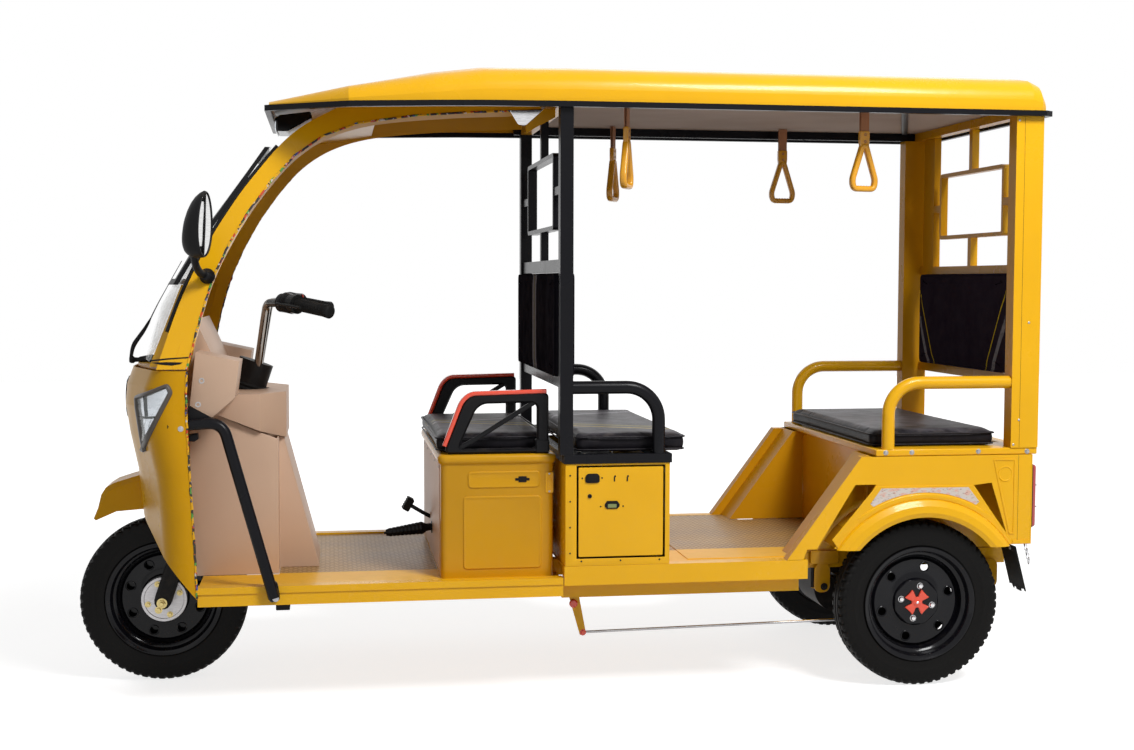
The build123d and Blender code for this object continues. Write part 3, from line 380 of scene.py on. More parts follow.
def metalFinish(colour, rough=0.25, brushed=0.15, dust=0.1):
    material, tree, shader = newMaterial(Metallic=1.0)
    streak = noiseAt(tree, 60, 4, (1, 1, 12))
    shade = mixColour(tree, smoothRange(tree, streak, 0.3, 0.7), (*colour, 1),
                      (*[c * 0.8 for c in colour], 1))
    weathered(tree, shader, Colour=shade, Drift=0.2, Dust=dust, Roughness=rough)
    addBump(tree, shader, streak, brushed, 0.0003)
    return material


def glassFinish(colour, rough=0.03, alpha=0.22):
    material, tree, shader = newMaterial(Metallic=0.0, IOR=1.5, Coat_Weight=0.3)
    smear = noiseAt(tree, 9, 5, (1, 1, 3))
    dirty = mixColour(tree, smoothRange(tree, smear, 0.45, 0.8), (*colour, 1), (0.62, 0.6, 0.56, 1))
    link(tree, dirty, shader.inputs["Base Color"])
    link(tree, smoothRange(tree, smear, 0.3, 0.8, rough, rough + 0.12), shader.inputs["Roughness"])
    link(tree, smoothRange(tree, smear, 0.35, 0.85, alpha, alpha + 0.12), shader.inputs["Alpha"])
    return material


def lensFinish(colour, rough=0.12):  # moulded lamp plastic with fine vertical flutes
    material, tree, shader = newMaterial(Coat_Weight=0.8, IOR=1.49)
    place = splitPlace(tree)
    flute = math2(tree, "SINE", math2(tree, "MULTIPLY", place.outputs["Z"], 900.0))
    weathered(tree, shader, Colour=(*colour, 1), Drift=0.35, Dust=0.15, Roughness=rough)
    addBump(tree, shader, flute, 0.35, 0.0008)
    return material


# grained vinyl with printed bands across it, and painted sheen with scuffs: a lighter, patchy colour on the
# faces turned up, or along X for backrests
def vinylFinish(colour, sheenAndScuffColour, bands, axis="Y", rough=0.36, shine=0.06):
    material, tree, shader = newMaterial(Coat_Weight=0.0, Specular_IOR_Level=shine)
    place = splitPlace(tree)
    geometry = tree.nodes.new("ShaderNodeNewGeometry")
    facing = tree.nodes.new("ShaderNodeSeparateXYZ")
    link(tree, geometry.outputs["Normal"], facing.inputs[0])
    faced = facing.outputs["Z"] if axis == "Y" else math2(tree, "ABSOLUTE", facing.outputs["X"])
    # painted sheen and scuffs: the faces turned up, or along X, are mixed towards the lighter second colour
    top = smoothRange(tree, faced, 0.55, 0.95)
    scuffAndSheen = mixColour(tree, smoothRange(tree, noiseAt(tree, 16, 5), 0.3, 0.75), (*sheenAndScuffColour, 1),
                        (*colour, 1))
    shade = mixColour(tree, top, (*colour, 1), scuffAndSheen)
    # each band: where it crosses, half its width, its slant, its colour
    for middle, half, slant, ink in bands:
        lean = math2(tree, "MULTIPLY", place.outputs["X" if axis == "Y" else "Z"], slant)
        run = math2(tree, "ADD", place.outputs["Y"], lean)
        away = math2(tree, "ABSOLUTE", math2(tree, "SUBTRACT", run, middle))
        inBand = math2(tree, "MULTIPLY", smoothRange(tree, away, half, half - 0.002), top)
        patchy = math2(tree, "MULTIPLY", inBand, smoothRange(tree, noiseAt(tree, 60, 4), 0.2, 0.6, 0.55, 1.0))
        shade = mixColour(tree, patchy, shade, (*ink, 1))
    weathered(tree, shader, Colour=shade, Drift=0.2, Dust=0.22, Roughness=rough)
    grain = useGroup(tree, "grain", Scale=330.0, Soft=24.0)
    addBump(tree, shader, grain.outputs["Height"], 0.55, 0.0009)
    return material


def inlayFinish():  # a pale foil strip with a soft, mottled tint
    material, tree, shader = newMaterial(Metallic=0.25, Specular_IOR_Level=0.5)
    broad = smoothRange(tree, noiseAt(tree, 38, 3, (1, 1, 2)), 0.52, 0.6)
    tinted = mixColour(tree, broad, (0.6, 0.54, 0.49, 1), (0.66, 0.4, 0.33, 1))
    dashes = smoothRange(tree, noiseAt(tree, 120, 2, (1, 1, 4)), 0.62, 0.68)
    inked = mixColour(tree, dashes, tinted, (0.3, 0.17, 0.14, 1))
    weathered(tree, shader, Colour=inked, Drift=0.2, Dust=0.2, Roughness=0.3)
    return material


def edgingFinish():  # cut sheet edges: torn film in mixed colours over dark plastic
    material, tree, shader = newMaterial(Specular_IOR_Level=0.3)
    shade = (0.035, 0.03, 0.026, 1)
    inks = ((41, 0.5, (0.8, 0.42, 0.012, 1)), (57, 0.6, (0.62, 0.07, 0.02, 1)),
            (63, 0.62, (0.1, 0.34, 0.06, 1)),
            (71, 0.63, (0.62, 0.6, 0.56, 1)), (83, 0.65, (0.06, 0.1, 0.34, 1)))
    for scale, low, ink in inks:
        shade = mixColour(tree, smoothRange(tree, noiseAt(tree, scale, 2), low, low + 0.02), shade, ink)
    weathered(tree, shader, Colour=shade, Drift=0.2, Dust=0.15, Roughness=0.55)
    addBump(tree, shader, noiseAt(tree, 420, 2), 0.6, 0.001)
    return material


bandOlive = (0.17, 0.145, 0.045)
bandYellow = (0.72, 0.52, 0.03)
bandGrey = (0.24, 0.235, 0.26)
paintYellow = (0.86, 0.45, 0.004)
finishes = {
    "bodyYellow": paintFinish(paintYellow, coat=0.14, shine=0.2),
    # painted shade: the cowl and front mudguard in a darker yellow, as if their sides were turned from the
    # light
    "cowlShadedYellow": paintFinish((0.7, 0.35, 0.006), drift=0.2, coat=0.03, shine=0.07),
    # painted shade: a darker, duller yellow for faces turned into the cabin, down or to the nose
    "innerShadeYellow": paintFinish((0.6, 0.28, 0.006), drift=0.25, coat=0.03, shine=0.08),
    # painted shade: a darker yellow for the driver's box in the roof's shadow and the spring hangers under
    # the floor
    "shadowedYellow": paintFinish((0.64, 0.32, 0.006), drift=0.25, dust=0.2, coat=0.1, shine=0.15),
    "frameBlack": paintFinish((0.006, 0.006, 0.008), rough=0.28, dust=0.04, coat=0.04, shine=0.1),
    "chassisBlack": paintFinish((0.01, 0.009, 0.009), rough=0.5, dust=0.3, coat=0.03, shine=0.1),
    "rimBlack": paintFinish((0.004, 0.004, 0.006), rough=0.14, dust=0.03, coat=0.1, shine=0.14, dents=0.15),
    "chequerYellow": chequerFinish(),
    "dashBeige": grainFinish((0.57, 0.385, 0.27), rough=0.48, drift=0.18, scale=900.0, depth=0.0003),
    "blackPlastic": grainFinish((0.007, 0.007, 0.008), rough=0.45, dust=0.1, scale=700.0,
                                Specular_IOR_Level=0.12),
    "glossBlack": paintFinish((0.006, 0.006, 0.007), rough=0.12, dust=0.05, coat=0.06, shine=0.16,
                              dents=0.05),
    "hoodGrey": grainFinish((0.1, 0.088, 0.08), rough=0.35, scale=900.0, depth=0.0002,
                            Specular_IOR_Level=0.2),
    "redTrim": paintFinish((0.83, 0.06, 0.018), rough=0.25, dust=0.12, coat=0.7, dents=0.1),
    "tailRed": lensFinish((0.42, 0.012, 0.014)),
    "clearGlass": glassFinish((0.8, 0.86, 0.86)),
    "rubberBlack": grainFinish((0.007, 0.007, 0.007), rough=0.62, dust=0.1, scale=260.0,
                               Specular_IOR_Level=0.12),
    "tyreBlack": grainFinish((0.0045, 0.0042, 0.004), rough=0.5, drift=0.35, dust=0.22, scale=190.0,
                             depth=0.0008, dustColour=(0.03, 0.027, 0.024, 1), Specular_IOR_Level=0.1),
    "roofLining": grainFinish((0.4, 0.31, 0.26), rough=0.85, drift=0.4, scale=380.0),
    "strapYellow": paintFinish((0.78, 0.36, 0.012), rough=0.32, drift=0.3, dents=0.1),
    "strapBrown": grainFinish((0.4, 0.17, 0.075), rough=0.6, drift=0.3, scale=800.0),
    # the second colour of each vinyl is its painted sheen and scuffing
    "seatVinyl": vinylFinish((0.013, 0.012, 0.015), (0.085, 0.08, 0.092), (
        (0.1, 0.022, 0.5, bandOlive), (0.165, 0.006, 0.5, bandYellow), (-0.16, 0.016, -0.4, bandGrey),
        (-0.215, 0.004, -0.4, bandGrey))),
    "frontBackVinyl": vinylFinish((0.01, 0.009, 0.013), (0.022, 0.02, 0.026), (
        (0.0, 0.045, 0.0, bandGrey), (0.0, 0.008, 0.0, bandOlive)), "X", shine=0.0),
    "rearBackVinyl": vinylFinish((0.024, 0.017, 0.028), (0.032, 0.024, 0.036), (
        (0.26, 0.012, 0.55, bandGrey), (0.31, 0.004, 0.55, bandYellow), (-0.26, 0.012, -0.55, bandGrey),
        (-0.31, 0.004, -0.55, bandYellow)), "X", shine=0.0),
    "meterGreen": paintFinish((0.2, 0.24, 0.07), rough=0.2, dust=0.05, dents=0.0),
    "plainSteel": metalFinish((0.42, 0.42, 0.43), rough=0.36, dust=0.35),
    "brightSteel": metalFinish((0.78, 0.78, 0.8), rough=0.14),
    # painted reflection: chrome darkened, as if it mirrored dark surroundings
    "riserDarkReflectChrome": metalFinish((0.3, 0.275, 0.25), rough=0.1, brushed=0.02, dust=0.15),
    "mirrorFace": metalFinish((0.88, 0.88, 0.88), rough=0.03, brushed=0.0, dust=0.05),
    "lampBright": metalFinish((0.74, 0.78, 0.84), rough=0.18, brushed=0.0, dust=0.05),
    "silverInlay": inlayFinish(),
    "seamBrown": paintFinish((0.19, 0.1, 0.012), rough=0.5, coat=0.0, shine=0.1, dents=0.05),
    "frayedEdging": edgingFinish(),
    "zincYellow": metalFinish((0.62, 0.5, 0.22), rough=0.3, dust=0.2),
    "hubGrey": metalFinish((0.52, 0.51, 0.52), rough=0.45, dust=0.2),
}

for finish, material in finishes.items():
    material.name = finish

print("finishes ready:", len(finishes))


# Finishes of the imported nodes
nodeFinish = {
    "cowlShadedYellow": "nose_cowl front_mudguard",
    "bodyYellow": "screen_frame roof_shell roof_frame battery_box rear_bench_box chassis_frame "
    "quarter_panels wheel_houses rear_mudguards wheel_lips tail_panel rear_posts rear_hoops "
    "battery_door_left battery_door_right rear_lattice brake_linkage",
    "shadowedYellow": "driver_seat_box",
    "frameBlack": "partition_frame battery_rim roof_bead leg_guards driver_armrests",
    "chassisBlack": "rear_axle leaf_springs steering floor_controls",
    "rimBlack": "front_rim rear_rim_left rear_rim_right",
    "chequerYellow": "front_floor rear_floor",
    "dashBeige": "leg_shield dashboard",
    "blackPlastic": "windscreen_sash roof_lamp mirrors wiper batteries mud_flaps",
    "glossBlack": "nose_plate headlamps",
    "redTrim": "wheel_cap_left wheel_cap_right",
    "tailRed": "tail_lamps",
    "clearGlass": "windscreen",
    "roofLining": "roof_lining",
    "strapYellow": "hanging_handles",
}
for finish, names in nodeFinish.items():
    for name in names.split():
        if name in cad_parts:
            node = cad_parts[name]
            node.data.materials.clear()
            node.data.materials.append(finishes[finish])


# gives a finish to those faces of a node whose middle and normal pass the test
def paintFaces(node, finish, test):
    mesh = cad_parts[node].data
    index = len(mesh.materials)
    mesh.materials.append(finishes[finish])
    for face in mesh.polygons:
        if test(face.center, face.normal):
            face.material_index = index


for floorNode in ("front_floor", "rear_floor"):
    paintFaces(floorNode, "bodyYellow", lambda middle, normal: abs(middle.y) > 0.426 or normal.z < 0.7)


def facesInward(middle, normal):  # the sides turned to the cabin, downwards or to the nose, which take the painted shade
    return normal.y * math.copysign(1, middle.y) < -0.5 or normal.z < -0.5 or normal.x > 0.7


# painted shade on the inward, downward and nose-facing faces of the yellow nodes, and on the chassis except
# its near faces
innerNodes = ("screen_frame roof_frame rear_posts rear_lattice wheel_houses quarter_panels rear_bench_box "
              "battery_box rear_mudguards roof_shell")
for innerNode in innerNodes.split():
    paintFaces(innerNode, "innerShadeYellow", facesInward)
paintFaces("chassis_frame", "innerShadeYellow", lambda middle, normal: normal.y < 0.7)
paintFaces("roof_frame", "frameBlack", lambda middle,
           normal: middle.y < -0.425 and middle.x > frontAxle - 2.52)
paintFaces("brake_linkage", "plainSteel", lambda middle,
           normal: middle.z < 0.178 and middle.x < frontAxle - 1.26)
paintFaces("steering", "riserDarkReflectChrome", lambda middle, normal: middle.z > 0.985 and middle.x > 0.82)
paintFaces("steering", "rubberBlack", lambda middle, normal: middle.x < 0.795)
paintFaces("steering", "glossBlack", lambda middle, normal: 0.795 <= middle.x < 0.86 and middle.z > 1.1)


# Mesh tools
def newShapes(count):
    return [bmesh.new() for _ in range(count)]


# makes a piece of the shape: its finish, the body it rides on and the nodes it stands for
def addPiece(name, shape, finish, body="root", sharp=32, replaces=()):
    bmesh.ops.recalc_face_normals(shape, faces=shape.faces)
    for face in shape.faces:
        face.smooth = True
    for edge in shape.edges:
        edge.smooth = len(edge.link_faces) == 2 and edge.calc_face_angle(0) < math.radians(sharp)
    mesh = bpy.data.meshes.new(name)
    shape.to_mesh(mesh)
    shape.free()
    mesh.materials.append(finishes[finish])
    piece = bpy.data.objects.new(name, mesh)
    scene.collection.objects.link(piece)
    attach(piece, body)
    if replaces:
        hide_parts(*replaces)
    return piece


def roundedNode(node, name, finish, radius, segments=3, angle=38):  # the node's own form with its edges eased
    shape = bmesh.new()
    shape.from_mesh(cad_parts[node].data)
    bmesh.ops.remove_doubles(shape, verts=shape.verts, dist=0.00005)
    bmesh.ops.dissolve_limit(shape, angle_limit=math.radians(1.5), verts=shape.verts, edges=shape.edges)
    crisp = [e for e in shape.edges if len(e.link_faces) == 2 and e.calc_face_angle(0) > math.radians(angle)]
    bmesh.ops.bevel(shape, geom=crisp, offset=radius, segments=segments, profile=0.5, affect="EDGES",
                    clamp_overlap=True, harden_normals=False)
    return addPiece(name, shape, finish, replaces=(node,))


# skins rings of places that all have as many points
def loft(shape, rings, closed=True, capStart=True, capEnd=True):
    rows = [[shape.verts.new(place) for place in ring] for ring in rings]
    count = len(rings[0])
    for near, far in zip(rows, rows[1:]):
        for i in range(count if closed else count - 1):
            j = (i + 1) % count
            shape.faces.new((near[i], near[j], far[j], far[i]))
    if capStart and closed:
        shape.faces.new(list(reversed(rows[0])))
    if capEnd and closed:
        shape.faces.new(rows[-1])
    return rows


def axesFor(axis):  # two directions square to the axis
    axis = Vector(axis).normalized()
    side = axis.orthogonal().normalized() if abs(axis.z) > 0.9 else axis.cross(Vector((0, 0, 1))).normalized()
    return axis, side, axis.cross(side).normalized()


def turned(shape, centre, axis, profile, steps=32, caps=(True, True)):  # profile rows: along the axis, radius
    axis, side, other = axesFor(axis)
    rings = []
    for along, radius in profile:
        middle = Vector(centre) + axis * along
        rings.append([middle + (side * math.cos(a) + other * math.sin(a)) * radius
                      for a in (math.tau * k / steps for k in range(steps))])
    loft(shape, rings, capStart=caps[0], capEnd=caps[1])


# a washer with a chamfered hexagon and a small centre point
def boltHead(shape, centre, axis, radius, height, washer=True):
    if washer:
        turned(shape, centre, axis, [(0, radius * 1.45), (height * 0.14, radius * 1.5),
                                     (height * 0.22, radius * 1.4)], 20)
    top = [(height * 0.2, radius), (height * 0.84, radius), (height, radius * 0.82), (height, radius * 0.5),
           (height * 0.93, radius * 0.36)]
    turned(shape, centre, axis, top, 6)


def screwHead(shape, centre, axis, radius):  # a pan head with a dished middle
    turned(shape, centre, axis, [(0, radius), (radius * 0.35, radius * 0.94), (radius * 0.55, radius * 0.62),
                                 (radius * 0.52, radius * 0.32), (radius * 0.3, radius * 0.22)], 14)


def curvePoints(points, rounding, steps=6):  # a path whose inner corners are rounded
    points = [Vector(p) for p in points]
    path = [points[0]]
    for before, corner, after in zip(points, points[1:], points[2:]):
        reach = min(rounding, (before - corner).length * 0.48, (after - corner).length * 0.48)
        start = corner + (before - corner).normalized() * reach
        end = corner + (after - corner).normalized() * reach
        for k in range(steps + 1):
            t = k / steps
            path.append(start * (1 - t) ** 2 + corner * 2 * t * (1 - t) + end * t ** 2)
    path.append(points[-1])
    return path


# section rows: across, upward; or a function of the share along
def sweep(shape, path, section, up=(0, 0, 1), caps=True):
    path = [Vector(p) for p in path]
    rings = []
    for i, place in enumerate(path):
        ahead = (path[min(i + 1, len(path) - 1)] - path[max(i - 1, 0)]).normalized()
        across = ahead.cross(Vector(up)).normalized()
        upward = across.cross(ahead).normalized()
        rows = section(i / (len(path) - 1)) if callable(section) else section
        rings.append([place + across * a + upward * b for a, b in rows])
    loft(shape, rings, capStart=caps, capEnd=caps)


def roundSection(radius, steps=12):
    return [(radius * math.cos(math.tau * k / steps), radius * math.sin(math.tau * k / steps))
            for k in range(steps)]


def boxSection(width, height, corner=0.002, steps=3):  # a rounded rectangle about the middle
    corner = min(corner, width * 0.49, height * 0.49)
    rows = []
    for cx, cy, first in ((1, 1, 0), (-1, 1, 90), (-1, -1, 180), (1, -1, 270)):
        for k in range(steps + 1):
            a = math.radians(first + 90 * k / steps)
            rows.append((cx * (width / 2 - corner) + corner * math.cos(a),
                         cy * (height / 2 - corner) + corner * math.sin(a)))
    return rows


def ringSweep(shape, path, section, facing):  # a closed sweep; section rows run across and along the facing
    rows, count = [], len(path)
    for i, place in enumerate(path):
        ahead = (path[(i + 1) % count] - path[i - 1]).normalized()
        across = ahead.cross(facing).normalized()
        rows.append([shape.verts.new(place + across * a + facing * b) for a, b in section])
    for i in range(count):
        near, far = rows[i], rows[(i + 1) % count]
        for k in range(len(section)):
            j = (k + 1) % len(section)
            shape.faces.new((near[k], near[j], far[j], far[k]))


def roundedOutline(points, radius, steps=5):  # a closed 2-D outline with rounded corners
    rows, count = [], len(points)
    for i in range(count):
        before, corner, after = (Vector(points[(i + k) % count]) for k in (-1, 0, 1))
        reach = min(radius, (before - corner).length * 0.48, (after - corner).length * 0.48)
        start = corner + (before - corner).normalized() * reach
        end = corner + (after - corner).normalized() * reach
        for k in range(steps + 1):
            t = k / steps
            rows.append(start * (1 - t) ** 2 + corner * 2 * t * (1 - t) + end * t ** 2)
    return rows


def inset(rows, amount):  # moves a closed 2-D outline inwards
    count, area = len(rows), 0
    for i in range(count):
        a, b = rows[i], rows[(i + 1) % count]
        area += a[0] * b[1] - b[0] * a[1]
    turn = 1 if area > 0 else -1
    out = []
    for i in range(count):
        ahead = Vector(rows[(i + 1) % count]) - Vector(rows[i - 1])
        normal = Vector((-ahead.y, ahead.x)).normalized() * turn
        out.append(Vector(rows[i]) + normal * amount)
    return out


# rows are a 2-D outline; place turns (a, b, depth) into a spot
def plate(shape, rows, place, thickness, edge=0.001):
    eased = inset(rows, edge)
    rings = [[place(a, b, depth) for a, b in outline] for outline, depth in
             ((eased, 0), (rows, edge), (rows, thickness - edge), (eased, thickness))]
    loft(shape, rings)


def rectangle(low, high, radius=0.004, steps=4):
    return roundedOutline([(low[0], low[1]), (high[0], low[1]), (high[0], high[1]), (low[0], high[1])],
                          radius, steps)


def rearCentre(side):
    return at(rearAxle, side * rearTrack, wheelHeight)


# the outline of a flat ring that stays open, from an angle over a span
def openRing(outer, inner, first, span):
    turns = [math.radians(first + span * k / 60) for k in range(61)]
    near, far = ([(radius * math.cos(a), radius * math.sin(a)) for a in turns] for radius in (outer, inner))
    return near + far[::-1]


# places an outline of (aft, up) on the near (+1) or far (-1) wall at that distance out
def sideWall(side, height=0.0):
    return lambda a, b, depth: at(a, side * (height + depth), b)


roundedParts = (  # node, piece, finish, edge radius
    ("dashboard", "dashMoulding", "dashBeige", 0.008),
    ("leg_shield", "legShieldMoulding", "dashBeige", 0.01),
    ("battery_box", "batteryBox", "bodyYellow", 0.003),
    ("rear_bench_box", "rearBenchBox", "bodyYellow", 0.003),
)
for node, name, finish, radius in roundedParts:
    piece = roundedNode(node, name, finish, radius)
    print(name, len(piece.data.polygons))

# Wheels
tyre = {
    "steps": 360, "blocks": 60, "grooveDepth": 0.0045,
    # half of the section: distance to the side, radius, and how far a groove cuts in there
    "section": [(0.0, 0.2478, 0), (0.004, 0.2478, 0), (0.006, 0.25, 0), (0.0155, 0.25, 0),
                (0.0175, 0.2462, 0),
                (0.0205, 0.2462, 0), (0.0225, 0.2496, 1), (0.031, 0.2488, 1), (0.037, 0.2468, 1),
                (0.0415, 0.2432, 1),
                (0.0432, 0.2385, 0.8), (0.0437, 0.233, 0.5), (0.044, 0.2322, 0), (0.0449, 0.225, 0),
                (0.045, 0.216, 0), (0.0446, 0.2085, 0), (0.045, 0.207, 0), (0.045, 0.204, 0),
                (0.0443, 0.2025, 0), (0.043, 0.19, 0), (0.0415, 0.18, 0), (0.0415, 0.1775, 0),
                (0.0398, 0.176, 0), (0.0375, 0.168, 0), (0.035, 0.16, 0), (0.033, 0.156, 0)],
}


def addTyre(name, node, centre, body):
    half = tyre["section"]
    ring = [(-a, r, g) for a, r, g in reversed(half[1:])] + half
    shape = bmesh.new()
    rings = []
    for k in range(tyre["steps"]):
        phase = (k * tyre["blocks"] / tyre["steps"]) % 1.0
        rows = []
        for side, radius, cut in ring:
            shifted = (phase + (0.5 if side > 0 else 0.0)) % 1.0
            groove = tyre["grooveDepth"] if shifted < 0.32 else 0.0
            r = radius - cut * groove
            y = side - math.copysign(cut * groove * 0.35, side)
            angle = math.tau * (k + abs(side) * 60) / tyre["steps"]
            rows.append(Vector(centre) + Vector((r * math.cos(angle), y, r * math.sin(angle))))
        rings.append(rows)
    rows = [[shape.verts.new(p) for p in ringRow] for ringRow in rings]
    count = len(rows[0])
    for k in range(len(rows)):
        near, far = rows[k], rows[(k + 1) % len(rows)]
        for i in range(count - 1):
            shape.faces.new((near[i], near[i + 1], far[i + 1], far[i]))
        shape.faces.new((near[-1], near[0], far[0], far[-1]))  # the bore
    return addPiece(name, shape, "tyreBlack", body, sharp=40, replaces=(node,))


cap = {
    "reach": 0.039, "hub": 0.0145, "waist": 0.0085, "flare": 0.0165, "out": 0.0145, "boltRing": 0.05,
    "plate": 0.073,
    "arms": 4, "thick": 0.0085, "boss": ((0, 0.012), (0.003, 0.0115), (0.0042, 0.009)), "bossOut": 0.021,
    "screwOut": 0.0245, "boltOut": 0.0105, "plateOut": 0.013, "plateThick": 0.0042,
    "bolt": ((-0.004, 0.01), (0.0065, 0.01), (0.0072, 0.0084), (0.0095, 0.0078), (0.012, 0.006),
             (0.0132, 0.0028)),
}


def addWheelCap(side, body):  # a four-armed cross with flared arms, held by one screw
    label = "Left" if side > 0 else "Right"
    centre = rearCentre(side)
    reach, flare = cap["reach"], cap["flare"]
    armSide = [(cap["hub"], cap["waist"]), (reach * 0.72, flare * 0.86), (reach * 0.97, flare),
               (reach * 0.93, flare * 0.45)]
    armRows = [(a, -b) for a, b in armSide] + armSide[::-1]
    outline = []
    for arm in range(cap["arms"]):
        turn = Matrix.Rotation(math.radians(45 + 90 * arm), 2)
        outline += [turn @ Vector(row) for row in armRows]
    outline = roundedOutline(outline, 0.0022, 2)
    place = lambda a, b, depth: centre + Vector((a, side * (cap["out"] + depth), b))
    shape = bmesh.new()
    plate(shape, outline, place, cap["thick"], 0.0014)
    turned(shape, centre + Vector((0, side * cap["bossOut"], 0)), (0, side, 0), cap["boss"], 24)
    addPiece("wheelCap" + label, shape, "redTrim", body, replaces=("wheel_cap_" + label.lower(),))
    bolts = bmesh.new()
    screwHead(bolts, centre + Vector((0, side * cap["screwOut"], 0)), (0, side, 0), 0.0042)
    for k in range(4):
        angle = math.radians(90 * k + 12)
        across, rise = cap["boltRing"] * math.cos(angle), cap["boltRing"] * math.sin(angle)
        turned(bolts, centre + Vector((across, side * cap["boltOut"], rise)), (0, side, 0), cap["bolt"], 18)
    addPiece("wheelBolts" + label, bolts, "brightSteel", body)
    raised = bmesh.new()  # an eight-sided plate under the bolts
    turns = [math.radians(22.5 + 45 * k) for k in range(8)]
    corners = [Vector((math.cos(turn), math.sin(turn))) * cap["plate"] for turn in turns]
    place = lambda a, b, depth: centre + Vector((a, side * (cap["plateOut"] + depth), b))
    plate(raised, roundedOutline(corners, 0.012, 4), place, cap["plateThick"], 0.0018)
    addPiece("hubPlate" + label, raised, "rimBlack", body)


addTyre("frontTyre", "front_tyre", frontCentre, "front_wheel")
for side, label in ((1, "left"), (-1, "right")):
    addTyre("rearTyre" + label.title(), "rear_tyre_" + label, rearCentre(side), "rear_wheel_" + label)
    addWheelCap(side, "rear_wheel_" + label)
rim = {
    "steps": 96, "ventRing": 0.1085, "ventRadius": 0.0125,
    # section rows: distance out from the wheel's middle, radius
    "front": [(0.014, 0.0), (0.014, 0.06), (0.0125, 0.068), (0.0065, 0.0725), (0.0045, 0.08), (0.003, 0.091),
              (0.003, 0.128), (0.0008, 0.1315), (-0.005, 0.135), (-0.006, 0.138), (0.002, 0.1405),
              (0.016, 0.143), (0.02, 0.147), (0.023, 0.153), (0.035, 0.156), (0.04, 0.16),
              (0.0425, 0.166), (0.0445, 0.169), (0.0455, 0.171), (0.0448, 0.1728), (0.0425, 0.1725),
              (0.0405, 0.169), (0.0378, 0.16), (0.033, 0.1585), (0.025, 0.156), (0.0, 0.154)],
    "back": [(0.0, 0.154), (-0.025, 0.156), (-0.033, 0.1585), (-0.0378, 0.16), (-0.0405, 0.169),
             (-0.0425, 0.1725), (-0.0448, 0.1728), (-0.0455, 0.171), (-0.0445, 0.169), (-0.0425, 0.166),
             (-0.04, 0.16), (-0.035, 0.156), (-0.023, 0.153), (-0.02, 0.149), (-0.01, 0.142),
             (-0.008, 0.136), (-0.002, 0.131), (0.0, 0.128), (0.0, 0.09), (0.0015, 0.079), (0.0035, 0.0715),
             (0.0095, 0.067), (0.011, 0.059), (0.011, 0.0)],
}


def addRim(name, node, centre, side, body, vents, firstVent):
    section = [(out, max(radius, 0.0005)) for out, radius in rim["front"] + rim["back"][1:]]
    shape = bmesh.new()
    turned(shape, centre, (0, side, 0), section, rim["steps"])
    piece = addPiece(name, shape, "rimBlack", body, sharp=28, replaces=(node,))
    cutters = bmesh.new()
    lips = bmesh.new()
    for k in range(vents):
        angle = math.radians(firstVent + 360 * k / vents)
        spot = centre + Vector((math.cos(angle), 0, math.sin(angle))) * rim["ventRing"]
        turned(cutters, spot - Vector((0, side * 0.02, 0)), (0, side, 0),
               [(0, rim["ventRadius"]), (0.05, rim["ventRadius"])], 28)
        r = rim["ventRadius"]
        turned(lips, spot, (0, side, 0), [(0.0005, r), (0.0005, r + 0.0045), (0.0042, r + 0.0035),
                                          (0.0052, r + 0.0018),
                                          (0.0046, r + 0.0004), (0.0005, r)], 28, caps=(False, False))
    addPiece(name + "VentLips", lips, "rimBlack", body)
    mesh = bpy.data.meshes.new("ventCutter")
    cutters.to_mesh(mesh)
    cutters.free()
    cutter = bpy.data.objects.new("ventCutter", mesh)
    scene.collection.objects.link(cutter)
    cut = piece.modifiers.new("vents", "BOOLEAN")
    cut.object = cutter
    cut.solver = "EXACT"
    piece.data = bpy.data.meshes.new_from_object(piece.evaluated_get(bpy.context.evaluated_depsgraph_get()))
    piece.modifiers.clear()
    bpy.data.objects.remove(cutter)


drum = {  # rings: outer and inner radius, first angle and span
    "rearRing": (0.131, 0.06, 128, 315), "rearIn": 0.03,
    "frontRing": (0.131, 0.05, 122, 334), "frontIn": 0.026,
}
frontHub = {
    "boltRing": 0.05, "boltTurn": (158, 343, 68, 250), "boltOut": 0.0452,
    "profile": ((0.012, 0.052), (0.03, 0.055), (0.038, 0.062), (0.042, 0.069), (0.046, 0.0675),
                (0.0466, 0.06),
                (0.0452, 0.058), (0.0452, 0.026), (0.048, 0.0245), (0.048, 0.012)),
}


def addFrontHub(side, label):  # the grey hub cover with its yellow-zinc bolts, and the fork's foot
    centre = Vector(frontCentre)
    shape = bmesh.new()
    turned(shape, centre, (0, side, 0), frontHub["profile"], 56)
    addPiece("frontHubCover" + label, shape, "hubGrey", "front_wheel")
    bolts = bmesh.new()
    for turnAngle in frontHub["boltTurn"]:
        a = math.radians(turnAngle)
        across, rise = math.cos(a) * frontHub["boltRing"], math.sin(a) * frontHub["boltRing"]
        spot = centre + Vector((across, side * frontHub["boltOut"], rise))
        boltHead(bolts, spot, (0, side, 0), 0.0062, 0.0055)
    addPiece("frontHubBolts" + label, bolts, "zincYellow", "front_wheel")


for side, label in ((1, "Left"), (-1, "Right")):
    addFrontHub(side, label)
    shield = bmesh.new()  # a fixed dust plate behind the disc, open over one vent
    centre = rearCentre(side)
    place = lambda a, b, depth: centre + Vector((a, side * (-drum["rearIn"] - depth), b))
    plate(shield, openRing(*drum["rearRing"]), place, 0.004, 0.0008)
    addPiece("dustPlate" + label, shield, "chassisBlack")
addRim("frontRim", "front_rim", Vector(frontCentre), 1, "front_wheel", 8, 109)
addRim("rearRimLeft", "rear_rim_left", rearCentre(1), 1, "rear_wheel_left", 6, 105)
addRim("rearRimRight", "rear_rim_right", rearCentre(-1), -1, "rear_wheel_right", 6, 105)
print("wheels done")

